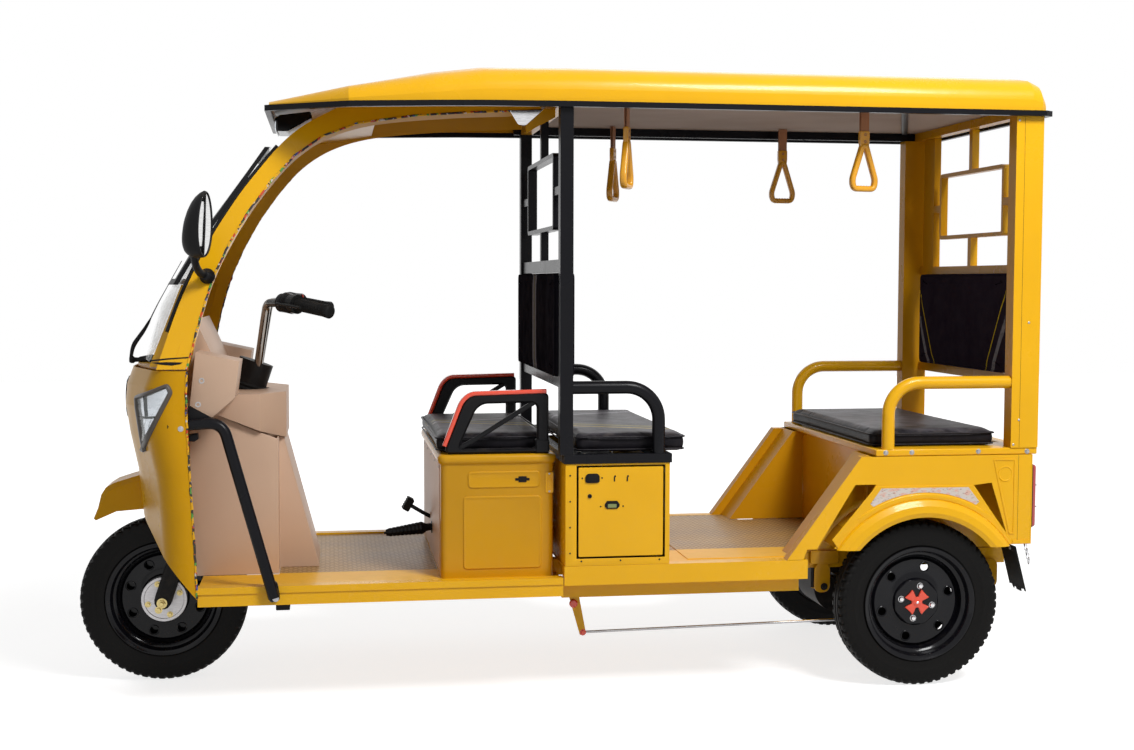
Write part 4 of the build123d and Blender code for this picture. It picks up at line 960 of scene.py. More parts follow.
# Seats and backrests
seats = {  # node: piece, nose end and tail end, half width, foot, top, body
    "driver_seat": ("driverCushion", 0.803, 1.14, 0.355, 0.7215, 0.774, "driver_seat_lid"),
    "front_bench_seat": ("frontBenchCushion", 1.204, 1.534, 0.418, 0.7215, 0.776, "front_bench_lid"),
    "rear_seat": ("rearCushion", 2.104, 2.505, 0.4, 0.7215, 0.772, "rear_bench_lid"),
}
weltRadius = 0.0024  # the sewn cords
stuffing = {"voxel": 0.0065, "pressure": 4.0, "frames": 14, "cap": 0.006}


def swell(piece, steps, limit):  # blows the closed form up as cloth, then keeps each point within the limit
    start = [v.co.copy() for v in piece.data.vertices]
    cloth = piece.modifiers.new("stuffing", "CLOTH")
    cloth.settings.quality = 4
    cloth.settings.mass = 0.4
    cloth.settings.use_pressure = True
    cloth.settings.uniform_pressure_force = stuffing["pressure"]
    cloth.settings.tension_stiffness = 30
    cloth.settings.bending_stiffness = 4
    cloth.settings.effector_weights.gravity = 0
    cloth.collision_settings.use_collision = False
    cloth.point_cache.frame_start = 1
    cloth.point_cache.frame_end = steps
    for step in range(1, steps + 1):
        scene.frame_set(step)
    shaped = piece.evaluated_get(bpy.context.evaluated_depsgraph_get())
    after = [v.co.copy() for v in shaped.data.vertices]
    piece.modifiers.remove(cloth)
    for vertex, before, now in zip(piece.data.vertices, start, after):
        move = now - before
        if move.length > limit:
            move = move.normalized() * limit
        vertex.co = before + move
    scene.frame_set(1)


def cushionForm(low, high, crown, waist, corner):  # a soft box whose sides pull in between the corners
    steps, levels = 14, 9
    cx, cy = (low.x + high.x) / 2, (low.y + high.y) / 2
    hx, hy = (high.x - low.x) / 2, (high.y - low.y) / 2
    outline = rectangle((-hx, -hy), (hx, hy), corner, 5)
    rounded = []
    for i, point in enumerate(outline):  # more points along the straight runs, which are pulled in a little
        after = outline[(i + 1) % len(outline)]
        parts = steps if (after - point).length > corner * 1.5 else 1
        for k in range(parts):
            spot = point.lerp(after, k / parts)
            pull = waist * math.sin(math.pi * k / parts) if parts > 1 else 0
            out = Vector((spot.x / hx, spot.y / hy))
            shift = Vector((math.copysign(pull, spot.x) if abs(out.x) > abs(out.y) else 0,
                            math.copysign(pull, spot.y) if abs(out.y) >= abs(out.x) else 0))
            rounded.append(spot - shift)
    shape = bmesh.new()
    rings = []
    tall = high.z - low.z - crown
    for k in range(levels):
        t = k / (levels - 1)
        bulge = 0.0035 * math.sin(math.pi * t) - 0.004
        lip = 0.006 * max(0, 1 - t * 5) + 0.005 * max(0, (t - 0.86) * 7)
        rings.append([Vector((cx + p.x * (1 + (bulge - lip) / hx), cy + p.y * (1 + (bulge - lip) / hy),
                              low.z + tall * t))
                      for p in rounded])
    for share in (0.975, 0.94, 0.86, 0.72, 0.54, 0.34, 0.15):  # the crowned top closes in towards the middle
        rise = crown * (1 - share ** 5)
        rings.append([Vector((cx + p.x * share, cy + p.y * share, low.z + tall + rise)) for p in rounded])
    loft(shape, rings)
    return shape


def addCushion(node, name, aftLow, aftHigh, halfWidth, bottom, top, body):
    low, high = at(aftHigh, -halfWidth, bottom), at(aftLow, halfWidth, top)
    shape = cushionForm(low, high, 0.009, 0.003, 0.022)
    piece = addPiece(name, shape, "seatVinyl", body, sharp=70, replaces=(node,))
    remesh = piece.modifiers.new("even", "REMESH")
    remesh.mode = "VOXEL"
    remesh.voxel_size = stuffing["voxel"]
    shaped = piece.evaluated_get(bpy.context.evaluated_depsgraph_get())
    mesh = bpy.data.meshes.new_from_object(shaped)
    piece.modifiers.clear()
    piece.data = mesh
    for face in mesh.polygons:
        face.use_smooth = True
    swell(piece, stuffing["frames"], stuffing["cap"])
    for vertex in piece.data.vertices:  # flat where it rests, and inside its own space
        vertex.co.z = min(max(vertex.co.z, bottom), top + 0.001)
    piece.modifiers.new("smoother", "SUBSURF").levels = 1
    return piece


for node, (name, aftLow, aftHigh, halfWidth, bottom, top, body) in seats.items():
    addCushion(node, name, aftLow, aftHigh, halfWidth, bottom, top, body)
    for level, inward in ((top - 0.0125, 0.0015), (bottom + 0.006, 0.0035)):
        near, far = (aftLow + inward, -halfWidth + inward), (aftHigh - inward, halfWidth - inward)
        path = [at(a, b, level) for a, b in rectangle(near, far, 0.022, 6)]
        cord = bmesh.new()
        ringSweep(cord, path, roundSection(weltRadius, 8), Vector((0, 0, 1)))
        addPiece(name + ("WeltTop" if level > bottom + 0.02 else "WeltBase"), cord, "seatVinyl", body)
print("cushions done")

# Driver's seat box
driverBox = {
    "aft": (0.816, 1.144), "half": 0.4, "base": 0.3585, "lipBase": 0.69, "lipTop": 0.7185, "lipOut": 0.009,
    "corner": 0.02,
    "panels": ((0.893, 1.104, 0.619, 0.669), (0.879, 1.109, 0.383, 0.597)),
    "panelSection": ((0, -0.0015), (0.001, 0.0015), (0.0035, 0.003), (0.006, 0.0022), (0.009, 0.0012)),
    "frontPanel": ((-0.36, 0.372), (0.36, 0.684)), "frontScrews": (-0.33, 0.165, 0.676),
    "plugCentre": (1.052, 0.6445),
    "plug": ((-0.021, -0.004), (-0.011, -0.004), (-0.011, -0.009), (0.012, -0.009), (0.012, -0.004),
             (0.021, -0.004),
             (0.021, 0.003), (0.013, 0.003), (0.012, 0.008), (-0.011, 0.008), (-0.012, 0.003),
             (-0.021, 0.003)),
    # the latch, piece by piece: two corners, corner radius and steps, distance out, thickness, edge
    "latch": (((1.1195, 0.603), (1.1425, 0.663), 0.004, 4, 0.0, 0.0022, 0.0005),
              ((1.1245, 0.612), (1.138, 0.652), 0.003, 4, 0.0022, 0.0024, 0.0008),
              ((1.13, 0.618), (1.1322, 0.634), 0.0008, 2, 0.0044, 0.0018, 0.0002)),
    "latchAft": 1.131, "latchLock": 0.641, "latchScrews": (0.607, 0.659),
}


def addDriverBox():  # pressed sheet with a rolled lip and raised side panels
    low, high = driverBox["aft"]
    half = driverBox["half"]
    shape = bmesh.new()
    corner = rectangle((low, -half), (high, half), driverBox["corner"], 6)
    profile = [(0.0, driverBox["base"]), (0.0, driverBox["lipBase"] - 0.004), (-0.0015, driverBox["lipBase"]),
               (-0.0065, driverBox["lipBase"] + 0.0035), (-driverBox["lipOut"],
                                                          driverBox["lipBase"] + 0.0095),
               (-driverBox["lipOut"], driverBox["lipTop"] - 0.01), (-0.0065, driverBox["lipTop"] - 0.004),
               (0.0, driverBox["lipTop"] - 0.0005), (0.008, driverBox["lipTop"]),
               (0.022, driverBox["lipTop"]),
               (0.022, driverBox["lipTop"] - 0.004), (0.0025, driverBox["lipBase"]),
               (0.0025, driverBox["base"])]
    rings = [[at(a, b, up) for a, b in inset(corner, amount)] for amount, up in profile]
    loft(shape, rings, capStart=False, capEnd=False)
    for side in (1, -1):
        for aftLow, aftHigh, zLow, zHigh in driverBox["panels"]:
            rows = rectangle((aftLow, zLow), (aftHigh, zHigh), 0.014, 5)
            rings = [[at(a, side * (half + out), b) for a, b in inset(rows, amount)]
                     for amount, out in driverBox["panelSection"]]
            loft(shape, rings, capStart=False)
    # painted shade: the box takes the darker shadowed yellow
    addPiece("driverBox", shape, "shadowedYellow", sharp=50, replaces=("driver_seat_box",))
    trim = bmesh.new()
    strip = rectangle(*driverBox["frontPanel"], 0.012, 4)  # the pale plastic panel on the front face
    plate(trim, strip, lambda a, b, depth: at(low - depth, a, b), 0.002, 0.0006)
    addPiece("driverBoxFrontPanel", trim, "dashBeige")
    marks = bmesh.new()
    for side in (1, -1):
        aft, up = driverBox["plugCentre"]
        plus = [(aft + a, up + b) for a, b in driverBox["plug"]]
        plate(marks, plus, sideWall(side, half + 0.0008), 0.0018, 0.0003)
    addPiece("driverBoxHolePlugs", marks, "blackPlastic")
    latch = bmesh.new()
    screws = bmesh.new()
    for side in (1, -1):
        for near, far, corner, steps, out, thick, edge in driverBox["latch"]:
            plate(latch, rectangle(near, far, corner, steps), sideWall(side, half + out), thick, edge)
        aft = driverBox["latchAft"]
        lock = at(aft, side * (half + 0.0046), driverBox["latchLock"])
        turned(latch, lock, (0, side, 0), [(0, 0.0042), (0.003, 0.004), (0.004, 0.0025)], 16)
        for up in driverBox["latchScrews"]:
            screwHead(screws, at(aft, side * (half + 0.0022), up), (0, side, 0), 0.0028)
    first, step, up = driverBox["frontScrews"]
    for k in range(5):
        screwHead(screws, at(low - 0.002, first + step * k, up), (1, 0, 0), 0.0035)
    addPiece("driverBoxLatches", latch, "bodyYellow")
    addPiece("driverBoxScrews", screws, "plainSteel")


addDriverBox()

# Battery box
batteryBox = {
    "wall": 0.4662, "doorFace": 0.4663, "socket": (1.247, 0.652), "lock": (1.239, 0.6),
    "hatch": (1.304, 0.573),
    "socketRim": ((-0.021, -0.012), (-0.012, -0.014), (0.012, -0.014), (0.02, -0.012), (0.021, 0.006),
                  (0.014, 0.013),
                  (-0.013, 0.013), (-0.021, 0.007)),
    "hatchRim": ((-0.021, -0.004), (-0.015, -0.011), (0.015, -0.011), (0.022, -0.004), (0.022, 0.003),
                 (0.015, 0.012),
                 (-0.015, 0.012), (-0.021, 0.003)),
    "door": ((1.2065, 0.4235), (1.455, 0.6825)), "doorIn": 0.4615, "doorThick": 0.0048,
    "lockProfile": ((0, 0.0062), (0.0035, 0.0058), (0.0045, 0.0038), (0.003, 0.003)),
    "postProfile": ((0, 0.008), (0.004, 0.008), (0.005, 0.005), (0.011, 0.0045)),
    "tabs": ((1.311, 0.65), (1.349, 0.65)),
    "screws": ((1.217, 0.652), (1.275, 0.652), (1.271, 0.569), (1.337, 0.569)),
}


def addBatteryDoor(side, label, body):
    face = batteryBox["doorFace"]
    panel = bmesh.new()
    doorPlace = sideWall(side, batteryBox["doorIn"])
    plate(panel, rectangle(*batteryBox["door"], 0.004), doorPlace, batteryBox["doorThick"], 0.0012)
    addPiece("batteryDoor" + label, panel, "bodyYellow", body, replaces=("battery_door_" + label.lower(),))
    fittings = bmesh.new()
    a, b = batteryBox["socket"]
    outline = [(a + u, b + v) for u, v in batteryBox["socketRim"]]
    plate(fittings, roundedOutline(outline, 0.004, 3), sideWall(side, face), 0.0045, 0.0012)
    plate(fittings, rectangle((a - 0.016, b - 0.009), (a + 0.015, b + 0.008), 0.003),
          sideWall(side, face + 0.0045), 0.0025, 0.001)
    a, b = batteryBox["lock"]
    turned(fittings, at(a, side * face, b), (0, side, 0), batteryBox["lockProfile"], 20)
    a, b = batteryBox["hatch"]
    outline = [(a + u, b + v) for u, v in batteryBox["hatchRim"]]
    plate(fittings, outline, sideWall(side, face), 0.003, 0.0008)
    addPiece("batteryDoorFittings" + label, fittings, "blackPlastic", body)
    meter = bmesh.new()
    plate(meter, rectangle((a - 0.0125, b - 0.0075), (a + 0.013, b + 0.0035), 0.0015, 2),
          sideWall(side, face + 0.003), 0.0012, 0.0003)
    addPiece("batteryMeterWindow" + label, meter, "meterGreen", body)
    hooks = bmesh.new()  # small stamped tabs and screws
    for aft, up in batteryBox["tabs"]:
        plate(hooks, rectangle((aft - 0.002, up - 0.009), (aft + 0.002, up + 0.004), 0.001, 2),
              sideWall(side, face), 0.0012, 0.0003)
        turned(hooks, at(aft + 0.002, side * face, up + 0.006), (0, side, 0), [(0, 0.003), (0.0012, 0.0026)],
               10)
    for aft, up in batteryBox["screws"]:
        screwHead(hooks, at(aft, side * face, up), (0, side, 0), 0.0024)
    addPiece("batteryDoorTabs" + label, hooks, "chassisBlack", body)


for side, label in ((1, "Left"), (-1, "Right")):
    addBatteryDoor(side, label, "battery_door_" + label.lower() + "_body")
    screws = bmesh.new()
    for k in range(4):
        screwHead(screws, at(1.182, side * batteryBox["wall"], 0.435 + 0.075 * k), (0, side, 0), 0.0026)
    for k in range(3):
        screwHead(screws, at(1.215 + 0.115 * k, side * batteryBox["wall"], 0.411), (0, side, 0), 0.0026)
    addPiece("batteryBoxScrews" + label, screws, "chassisBlack")

terminals = bmesh.new()
for k in range(8):
    for post in (-0.03, 0.03):
        spot = at(1.3 + post, -0.38 + 0.108 * k, 0.64)
        turned(terminals, spot, (0, 0, 1), batteryBox["postProfile"], 14)
addPiece("batteryPosts", terminals, "brightSteel")

# Armrests
armrest = {
    "inside": 0.378, "outside": 0.404, "middle": 0.391,
    "frame": [(0.822, 0.72), (0.88, 0.87), (0.904, 0.891), (1.118, 0.896), (1.129, 0.888), (1.129, 0.72)],
    "window": [(0.866, 0.733), (0.918, 0.849), (0.94, 0.864), (1.082, 0.866), (1.095, 0.857), (1.095, 0.733)],
    "brace": [(0.85, 0.726), (0.905, 0.754), (1.01, 0.819), (1.106, 0.878)],
    "foot": ((1.09, 0.7195), (1.131, 0.76)), "footIn": 0.376, "footWide": 0.03,
    "pad": [(0.83, 0.742), (0.879, 0.869), (0.903, 0.89), (1.123, 0.895)],
}


def bridgedPlate(shape, outer, inner, place, depth, edge):  # a plate with one window
    rings = []
    for outerRows, innerRows, out in ((inset(outer, edge), inset(inner, -edge), 0), (outer, inner, edge),
                                      (outer, inner, depth - edge),
                                      (inset(outer, edge), inset(inner, -edge), depth)):
        rings.append(([shape.verts.new(place(a, b, out)) for a, b in outerRows],
                      [shape.verts.new(place(a, b, out)) for a, b in innerRows]))
    for (outerNear, innerNear), (outerFar, innerFar) in zip(rings, rings[1:]):
        for rowNear, rowFar in ((outerNear, outerFar), (innerNear, innerFar)):
            for i in range(len(rowNear)):
                j = (i + 1) % len(rowNear)
                shape.faces.new((rowNear[i], rowNear[j], rowFar[j], rowFar[i]))
    for outerRow, innerRow in (rings[0], rings[-1]):
        edges = [shape.edges.get((row[i], row[(i + 1) % len(row)])) for row in (outerRow, innerRow)
                 for i in range(len(row))]
        bmesh.ops.triangle_fill(shape, use_beauty=True, use_dissolve=False, edges=edges)


def addArmrests():
    frames, pads = newShapes(2)
    depth = armrest["outside"] - armrest["inside"]
    for side in (1, -1):
        place = sideWall(side, armrest["inside"])
        bridgedPlate(frames, roundedOutline(armrest["frame"], 0.026, 5),
                     roundedOutline(armrest["window"], 0.02, 5), place, depth, 0.006)
        path = curvePoints([at(a, side * armrest["middle"], b) for a, b in armrest["brace"]], 0.06, 4)
        sweep(frames, path, lambda t: boxSection(0.014, 0.018 - 0.009 * math.sin(math.pi * min(t * 1.1, 1)),
                                                 0.004), up=(0, 1, 0))
        foot = rectangle(*armrest["foot"], 0.006)
        plate(frames, foot, sideWall(side, armrest["footIn"]), armrest["footWide"], 0.004)
        path = curvePoints([at(a, side * armrest["middle"], b) for a, b in armrest["pad"]], 0.03, 6)
        padSection = [(a, b + 0.0035) for a, b in boxSection(0.03, 0.0125, 0.005)]
        sweep(pads, path, lambda t: [(a * min(1, 0.72 + 6 * min(t, 1 - t)), b) for a, b in padSection],
              up=(0, 0, 1))
    addPiece("armrestFrames", frames, "blackPlastic", sharp=45, replaces=("driver_armrests",))
    piece = addPiece("armrestPads", pads, "redTrim", sharp=45, replaces=("armrest_pads",))


addArmrests()
print("boxes and armrests done")


# Front fork, hub and handlebar
lean = math.radians(18.5)  # how far the steering axis leans back
steerUp = Vector((-math.sin(lean), 0, math.cos(lean)))
steerAhead = Vector((math.cos(lean), 0, math.sin(lean)))
steerFoot = at(0.04, 0, 0.25)
forkShoe = {
    "ahead": 0.038, "side": 0.082, "width": 0.052, "depth": 0.047,
    # rows: how far along the steering axis, and the share of the full section there
    "rows": ((-0.03, 0.55), (-0.024, 0.8), (-0.014, 0.96), (-0.002, 1.0), (0.095, 1.0), (0.11, 0.94),
             (0.128, 0.88)),
    "pad": ((-0.017, 0.006), (0.017, 0.098)),
    "washer": ((-0.002, 0.0155), (0.0015, 0.0155), (0.002, 0.014)),
    "axleEnd": ((0.006, 0.0065), (0.014, 0.0062), (0.0155, 0.005)),
    "secondNut": (0.01, 0, -0.02),
}


def addForkShoes():  # the flattened lower legs with their axle nuts
    shape, nuts = newShapes(2)
    for side in (1, -1):
        base = steerFoot + steerAhead * forkShoe["ahead"] + Vector((0, side * forkShoe["side"], 0))
        rings = []
        for along, grow in forkShoe["rows"]:
            rows = boxSection(forkShoe["width"] * grow, forkShoe["depth"] * (0.9 + 0.1 * grow), 0.014, 4)
            rings.append([base + steerUp * along + steerAhead * a + Vector((0, b, 0)) for a, b in rows])
        loft(shape, rings)
        face = forkShoe["side"] + forkShoe["depth"] / 2
        place = lambda a, b, out: (steerFoot + steerAhead * (forkShoe["ahead"] + a) + steerUp * b
                                   + Vector((0, side * (face + out), 0)))
        plate(shape, rectangle(*forkShoe["pad"], 0.007), place, 0.0022, 0.0009)
        axle = Vector((frontAxle, side * face, wheelHeight))
        turned(nuts, axle, (0, side, 0), forkShoe["washer"], 24)
        boltHead(nuts, axle, (0, side, 0), 0.0115, 0.009, washer=False)
        turned(nuts, axle, (0, side, 0), forkShoe["axleEnd"], 16)
        boltHead(nuts, axle + Vector(forkShoe["secondNut"]), (0, side, 0), 0.0075, 0.006)
    addPiece("forkShoes", shape, "chassisBlack", "steering_body", sharp=40)
    addPiece("forkNuts", nuts, "zincYellow", "steering_body")


def addDrumPlate():  # the drum's back plate, open over one vent
    shape = bmesh.new()
    place = lambda a, b, out: Vector(frontCentre) + Vector((a, -drum["frontIn"] - out, b))
    plate(shape, openRing(*drum["frontRing"]), place, 0.005, 0.001)
    addPiece("frontDrumPlate", shape, "rimBlack", "front_wheel")


grip = {  # places are aft, side and up; profiles are along the axis and radius
    "start": (0.405, 0.244, 1.149), "end": (0.506, 0.334, 1.128), "radius": 0.0178, "ribs": 16,
    "pod": (0.389, 0.226, 1.15),
    "podProfile": ((0, 0.021), (0.003, 0.0265), (0.01, 0.0288), (0.017, 0.0288), (0.0185, 0.0278),
                   (0.0195, 0.0288),
                   (0.044, 0.0288), (0.052, 0.0262), (0.055, 0.021)),
    "buttons": (0.018, 0.0, -0.016), "buttonProfile": ((0, 0.0058), (0.0035, 0.0056), (0.0045, 0.0044)),
    "gaiterUp": 0.655,
    "gaiter": ((0.0, 0.06), (0.006, 0.0615), (0.012, 0.057), (0.018, 0.06), (0.024, 0.056), (0.03, 0.0585),
               (0.036, 0.0535)),
}


def addGrips():  # ribbed sleeves with an end flange, and the switch pods beside them
    sleeves, pods, marks = newShapes(3)
    for side in (1, -1):
        start, end = sidePlace(side, grip["start"]), sidePlace(side, grip["end"])
        run = end - start
        axis, length = run.normalized(), run.length
        radius = grip["radius"]
        profile = [(-0.004, radius + 0.0035), (-0.001, radius + 0.005), (0.003, radius + 0.0035)]
        for k in range(grip["ribs"]):
            along = 0.008 + (length - 0.03) * k / grip["ribs"]
            profile += [(along, radius - 0.0006), (along + 0.0022, radius + 0.0008),
                        (along + 0.0044, radius + 0.0008)]
        profile += [(length - 0.016, radius + 0.0015), (length - 0.003, radius + 0.0028),
                    (length, radius + 0.0008),
                    (length + 0.001, 0.008)]
        turned(sleeves, start, axis, profile, 28)
        head = sidePlace(side, grip["pod"])
        turned(pods, head - axis * 0.03, axis, grip["podProfile"], 30)
        for k, lift in enumerate(grip["buttons"]):
            spot = head + Vector((-0.0272, 0, lift)) - axis * 0.004 * k
            turned(marks, spot, (-1, side * 0.35, 0.1), grip["buttonProfile"], 14)
    addPiece("gripSleeves", sleeves, "rubberBlack", "steering_body", sharp=60)
    addPiece("switchPods", pods, "blackPlastic", "steering_body")
    addPiece("switchButtons", marks, "redTrim", "steering_body")
    gaiter = bmesh.new()
    foot = steerFoot + steerUp * grip["gaiterUp"]
    turned(gaiter, foot, steerUp, grip["gaiter"], 36, caps=(False, False))
    addPiece("columnGaiter", gaiter, "rubberBlack", "steering_body")


addForkShoes()
addDrumPlate()
addGrips()
print("fork and handlebar done")

# Nose
def treeOf(*nodes):
    corners, faces = [], []
    for node in nodes:
        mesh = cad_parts[node].data
        start = len(corners)
        corners += [v.co.copy() for v in mesh.vertices]
        faces += [[start + i for i in f.vertices] for f in mesh.polygons]
    return BVHTree.FromPolygons(corners, faces)


cowlTree = treeOf("nose_cowl")


# the place on the cowl's skin, seen from the side, moved out along its normal
def onCowl(aft, up, side, out=0.0):
    hit, normal = cowlTree.ray_cast(at(aft, side * 0.8, up), Vector((0, -side, 0)))[:2]
    if hit is None:
        hit, normal = cowlTree.find_nearest(at(aft, side * 0.3, up))[:2]
    if normal.y * side < 0:
        normal = -normal
    return hit + normal * out


headlamp = {
    "outline": [(-0.04, 0.892), (0.064, 0.936), (0.078, 0.91), (-0.019, 0.727)],
    "corner": 0.011, "rimWidth": 0.012, "lensOut": 0.006, "rings": 7, "step": 0.007,
}


def addHeadlamps():  # a dark bezel, a faceted bright bowl split by dark bars, and a clear lens
    bezel, bowl, bars, lens = newShapes(4)
    corners = roundedOutline(headlamp["outline"], headlamp["corner"], 6)
    rows = []
    # close steps, so that the edges follow the cowl's skin
    for near, far in zip(corners, corners[1:] + corners[:1]):
        count = max(1, math.ceil((far - near).length / headlamp["step"]))
        rows += [near.lerp(far, k / count) for k in range(count)]
    middle = sum(rows, Vector((0, 0))) / len(rows)
    for side in (1, -1):
        profile = ((0.0, 0.0), (0.001, 0.0055), (0.004, 0.0085), (0.009, 0.0095),
                   (headlamp["rimWidth"] - 0.002, 0.0075),
                   (headlamp["rimWidth"], 0.0045), (headlamp["rimWidth"] + 0.001, -0.004))
        rings = [[onCowl(a, b, side, out) for a, b in inset(rows, amount)] for amount, out in profile]
        loft(bezel, rings, capStart=False, capEnd=False)
        inner = inset(rows, headlamp["rimWidth"] - 0.0015)
        for shape, depth, swell in ((bowl, 0.0008, 0.0), (lens, 0.0045, headlamp["lensOut"])):
            rings = []
            for k in range(headlamp["rings"]):
                share = 1 - k / headlamp["rings"]
                rings.append([onCowl(*(middle + (p - middle) * share), side, depth + swell * (1 - share ** 2))
                              for p in inner])
            loft(shape, rings, capStart=False)
        for start, end in (((-0.03, 0.834), (0.036, 0.842)), ((-0.002, 0.897), (0.002, 0.842))):
            path = [onCowl(*Vector(start).lerp(Vector(end), t), side, 0.0035)
                    for t in (0, 0.25, 0.5, 0.75, 1)]
            sweep(bars, path, boxSection(0.006, 0.006, 0.002), up=(0, side, 0))
    addPiece("headlampBezels", bezel, "hoodGrey", sharp=50, replaces=("headlamps",))
    addPiece("headlampBowls", bowl, "lampBright", sharp=20)
    addPiece("headlampBars", bars, "blackPlastic")
    addPiece("headlampLenses", lens, "clearGlass", sharp=60)


nosePlate = {
    "aft": -0.0905, "up": 0.862, "screwAft": -0.1005, "screwRing": 0.033,
    "profile": ((0.0, 0.062), (0.001, 0.0665), (0.005, 0.068), (0.0075, 0.0668), (0.0085, 0.063),
                (0.0085, 0.06),
                (0.0115, 0.0585), (0.012, 0.05), (0.01, 0.047), (0.01, 0.018), (0.0115, 0.016),
                (0.0118, 0.0)),
}


def addNosePlate():
    shape = bmesh.new()
    turned(shape, at(nosePlate["aft"], 0, nosePlate["up"]), (1, 0, 0), nosePlate["profile"], 64)
    addPiece("nosePlate", shape, "glossBlack", replaces=("nose_plate",))
    bolts = bmesh.new()
    for k in range(4):
        a = math.radians(45 + 90 * k)
        across, rise = math.cos(a) * nosePlate["screwRing"], math.sin(a) * nosePlate["screwRing"]
        screwHead(bolts, at(nosePlate["screwAft"], across, nosePlate["up"] + rise), (1, 0, 0), 0.0035)
    addPiece("nosePlateScrews", bolts, "plainSteel")


wiper = {
    "side": 0.13,
    "arm": [(-0.076, 0.986), (-0.07, 1.025), (-0.03, 1.08), (0.004, 1.15), (0.074, 1.275)],
    "spindle": (-0.08, 0.984),
    "spindleProfile": ((0, 0.008), (0.004, 0.0105), (0.012, 0.0105), (0.016, 0.007), (0.026, 0.0065),
                       (0.03, 0.009),
                       (0.06, 0.015), (0.068, 0.0155), (0.072, 0.0125), (0.102, 0.006)),
    "widths": ((0, 0.012), (0.25, 0.017), (0.42, 0.015), (0.56, 0.01), (0.62, 0.0045), (1, 0.0025)),
}


def addWiper():  # the arm with its blade, swept along the screen, and its spindle
    shape = bmesh.new()
    path = curvePoints([at(a, wiper["side"], b) for a, b in wiper["arm"]], 0.03, 4)

    def armSection(t):
        for (low, wide), (high, narrow) in zip(wiper["widths"], wiper["widths"][1:]):
            if t <= high:
                width = wide + (narrow - wide) * (t - low) / (high - low)
                return boxSection(width, width * 0.75, width * 0.2)

    finer = [p for near, far in zip(path, path[1:]) for p in (near, near.lerp(far, 0.5))] + path[-1:]
    sweep(shape, finer, armSection, up=(1, 0, 0))
    aft, up = wiper["spindle"]
    turned(shape, at(aft, wiper["side"], up), (-1, 0, 0), wiper["spindleProfile"], 24)
    addPiece("wiperArm", shape, "blackPlastic", sharp=50, replaces=("wiper",))


mirror = {
    "stalk": ((0.166, 0.396, 1.229), (0.15, 0.438, 1.238), (0.143, 0.482, 1.258), (0.141, 0.508, 1.288),
              (0.14, 0.524, 1.318)),
    "root": (0.168, 0.386, 1.229), "rootProfile": ((0, 0.021), (0.008, 0.022), (0.013, 0.016),
                                                   (0.034, 0.0135), (0.036, 0.012)),
    "lip": ((0.003, 0.88, 0.92), (0.0002, 0.9, 0.935), (-0.0006, 0.95, 0.965)),
    "glass": ((0.0024, 0.9, 0.94), (0.0018, 0.5, 0.55), (0.0016, 0.2, 0.2)),
    "centre": (0.176, 0.5415, 1.368), "half": (0.047, 0.09), "turn": math.radians(20), "tilt": 0.04,
    # bowl rows: depth ahead of the face, share of the width, share of the height, drop
    "bowl": ((0.0015, 0.985, 0.985, 0.0), (0.006, 1.0, 1.0, 0.0), (0.016, 0.985, 0.975, 0.003),
             (0.027, 0.955, 0.925, 0.008),
             (0.037, 0.88, 0.84, 0.014), (0.045, 0.79, 0.73, 0.02), (0.052, 0.66, 0.59, 0.027),
             (0.057, 0.48, 0.42, 0.034),
             (0.059, 0.26, 0.22, 0.037)),
}


def addMirrors():  # oval housings with bowl-shaped backs on bent stalks
    housing, glass = newShapes(2)
    for side in (1, -1):
        centre = sidePlace(side, mirror["centre"])
        ahead = Vector((math.cos(mirror["turn"]), -side * math.sin(mirror["turn"]),
                        mirror["tilt"])).normalized()
        across = Vector((math.sin(mirror["turn"]), side * math.cos(mirror["turn"]), 0))
        upward = Vector((-mirror["tilt"], 0, 1)).normalized()

        def oval(depth, wide, tall, drop=0.0):
            rows = []
            for k in range(44):
                t = math.tau * k / 44
                reach = mirror["half"][0] * wide * (1 - 0.1 * math.sin(t))
                rows.append(centre + across * reach * math.cos(t)
                            + upward * (mirror["half"][1] * tall * math.sin(t) - drop) + ahead * depth)
            return rows

        loft(housing, [oval(*row) for row in mirror["lip"] + mirror["bowl"]], capStart=False)
        loft(glass, [oval(*row) for row in mirror["glass"]])
        stalk = [sidePlace(side, place) for place in mirror["stalk"]]
        sweep(housing, curvePoints(stalk, 0.02, 5), lambda t: roundSection(0.0115 - 0.002 * t, 16))
        turned(housing, sidePlace(side, mirror["root"]), (0.15, side, 0.05), mirror["rootProfile"], 22)
    addPiece("mirrorHousings", housing, "blackPlastic", sharp=60, replaces=("mirrors",))
    addPiece("mirrorGlasses", glass, "mirrorFace", sharp=40)


legGuard = {  # outlines are aft and up; sides are distances from the middle
    "wall": 0.4665,
    "endPlate": ((0.322, 0.388), (0.354, 0.38), (0.362, 0.326), (0.332, 0.32)),
    "endThick": 0.019,
    "endBolt": (0.349, 0.4855, 0.333),
    "collar": (0.06, 0.44, 0.816),
    "collarProfile": ((0, 0.024), (0.01, 0.0245), (0.014, 0.018)),
    "cowlBolt": (0.096, 0.809),
    "bracket": ((0.348, 0.291), (0.387, 0.312)),
    "bracketSide": 0.392,
    "bracketLong": 0.055,
}


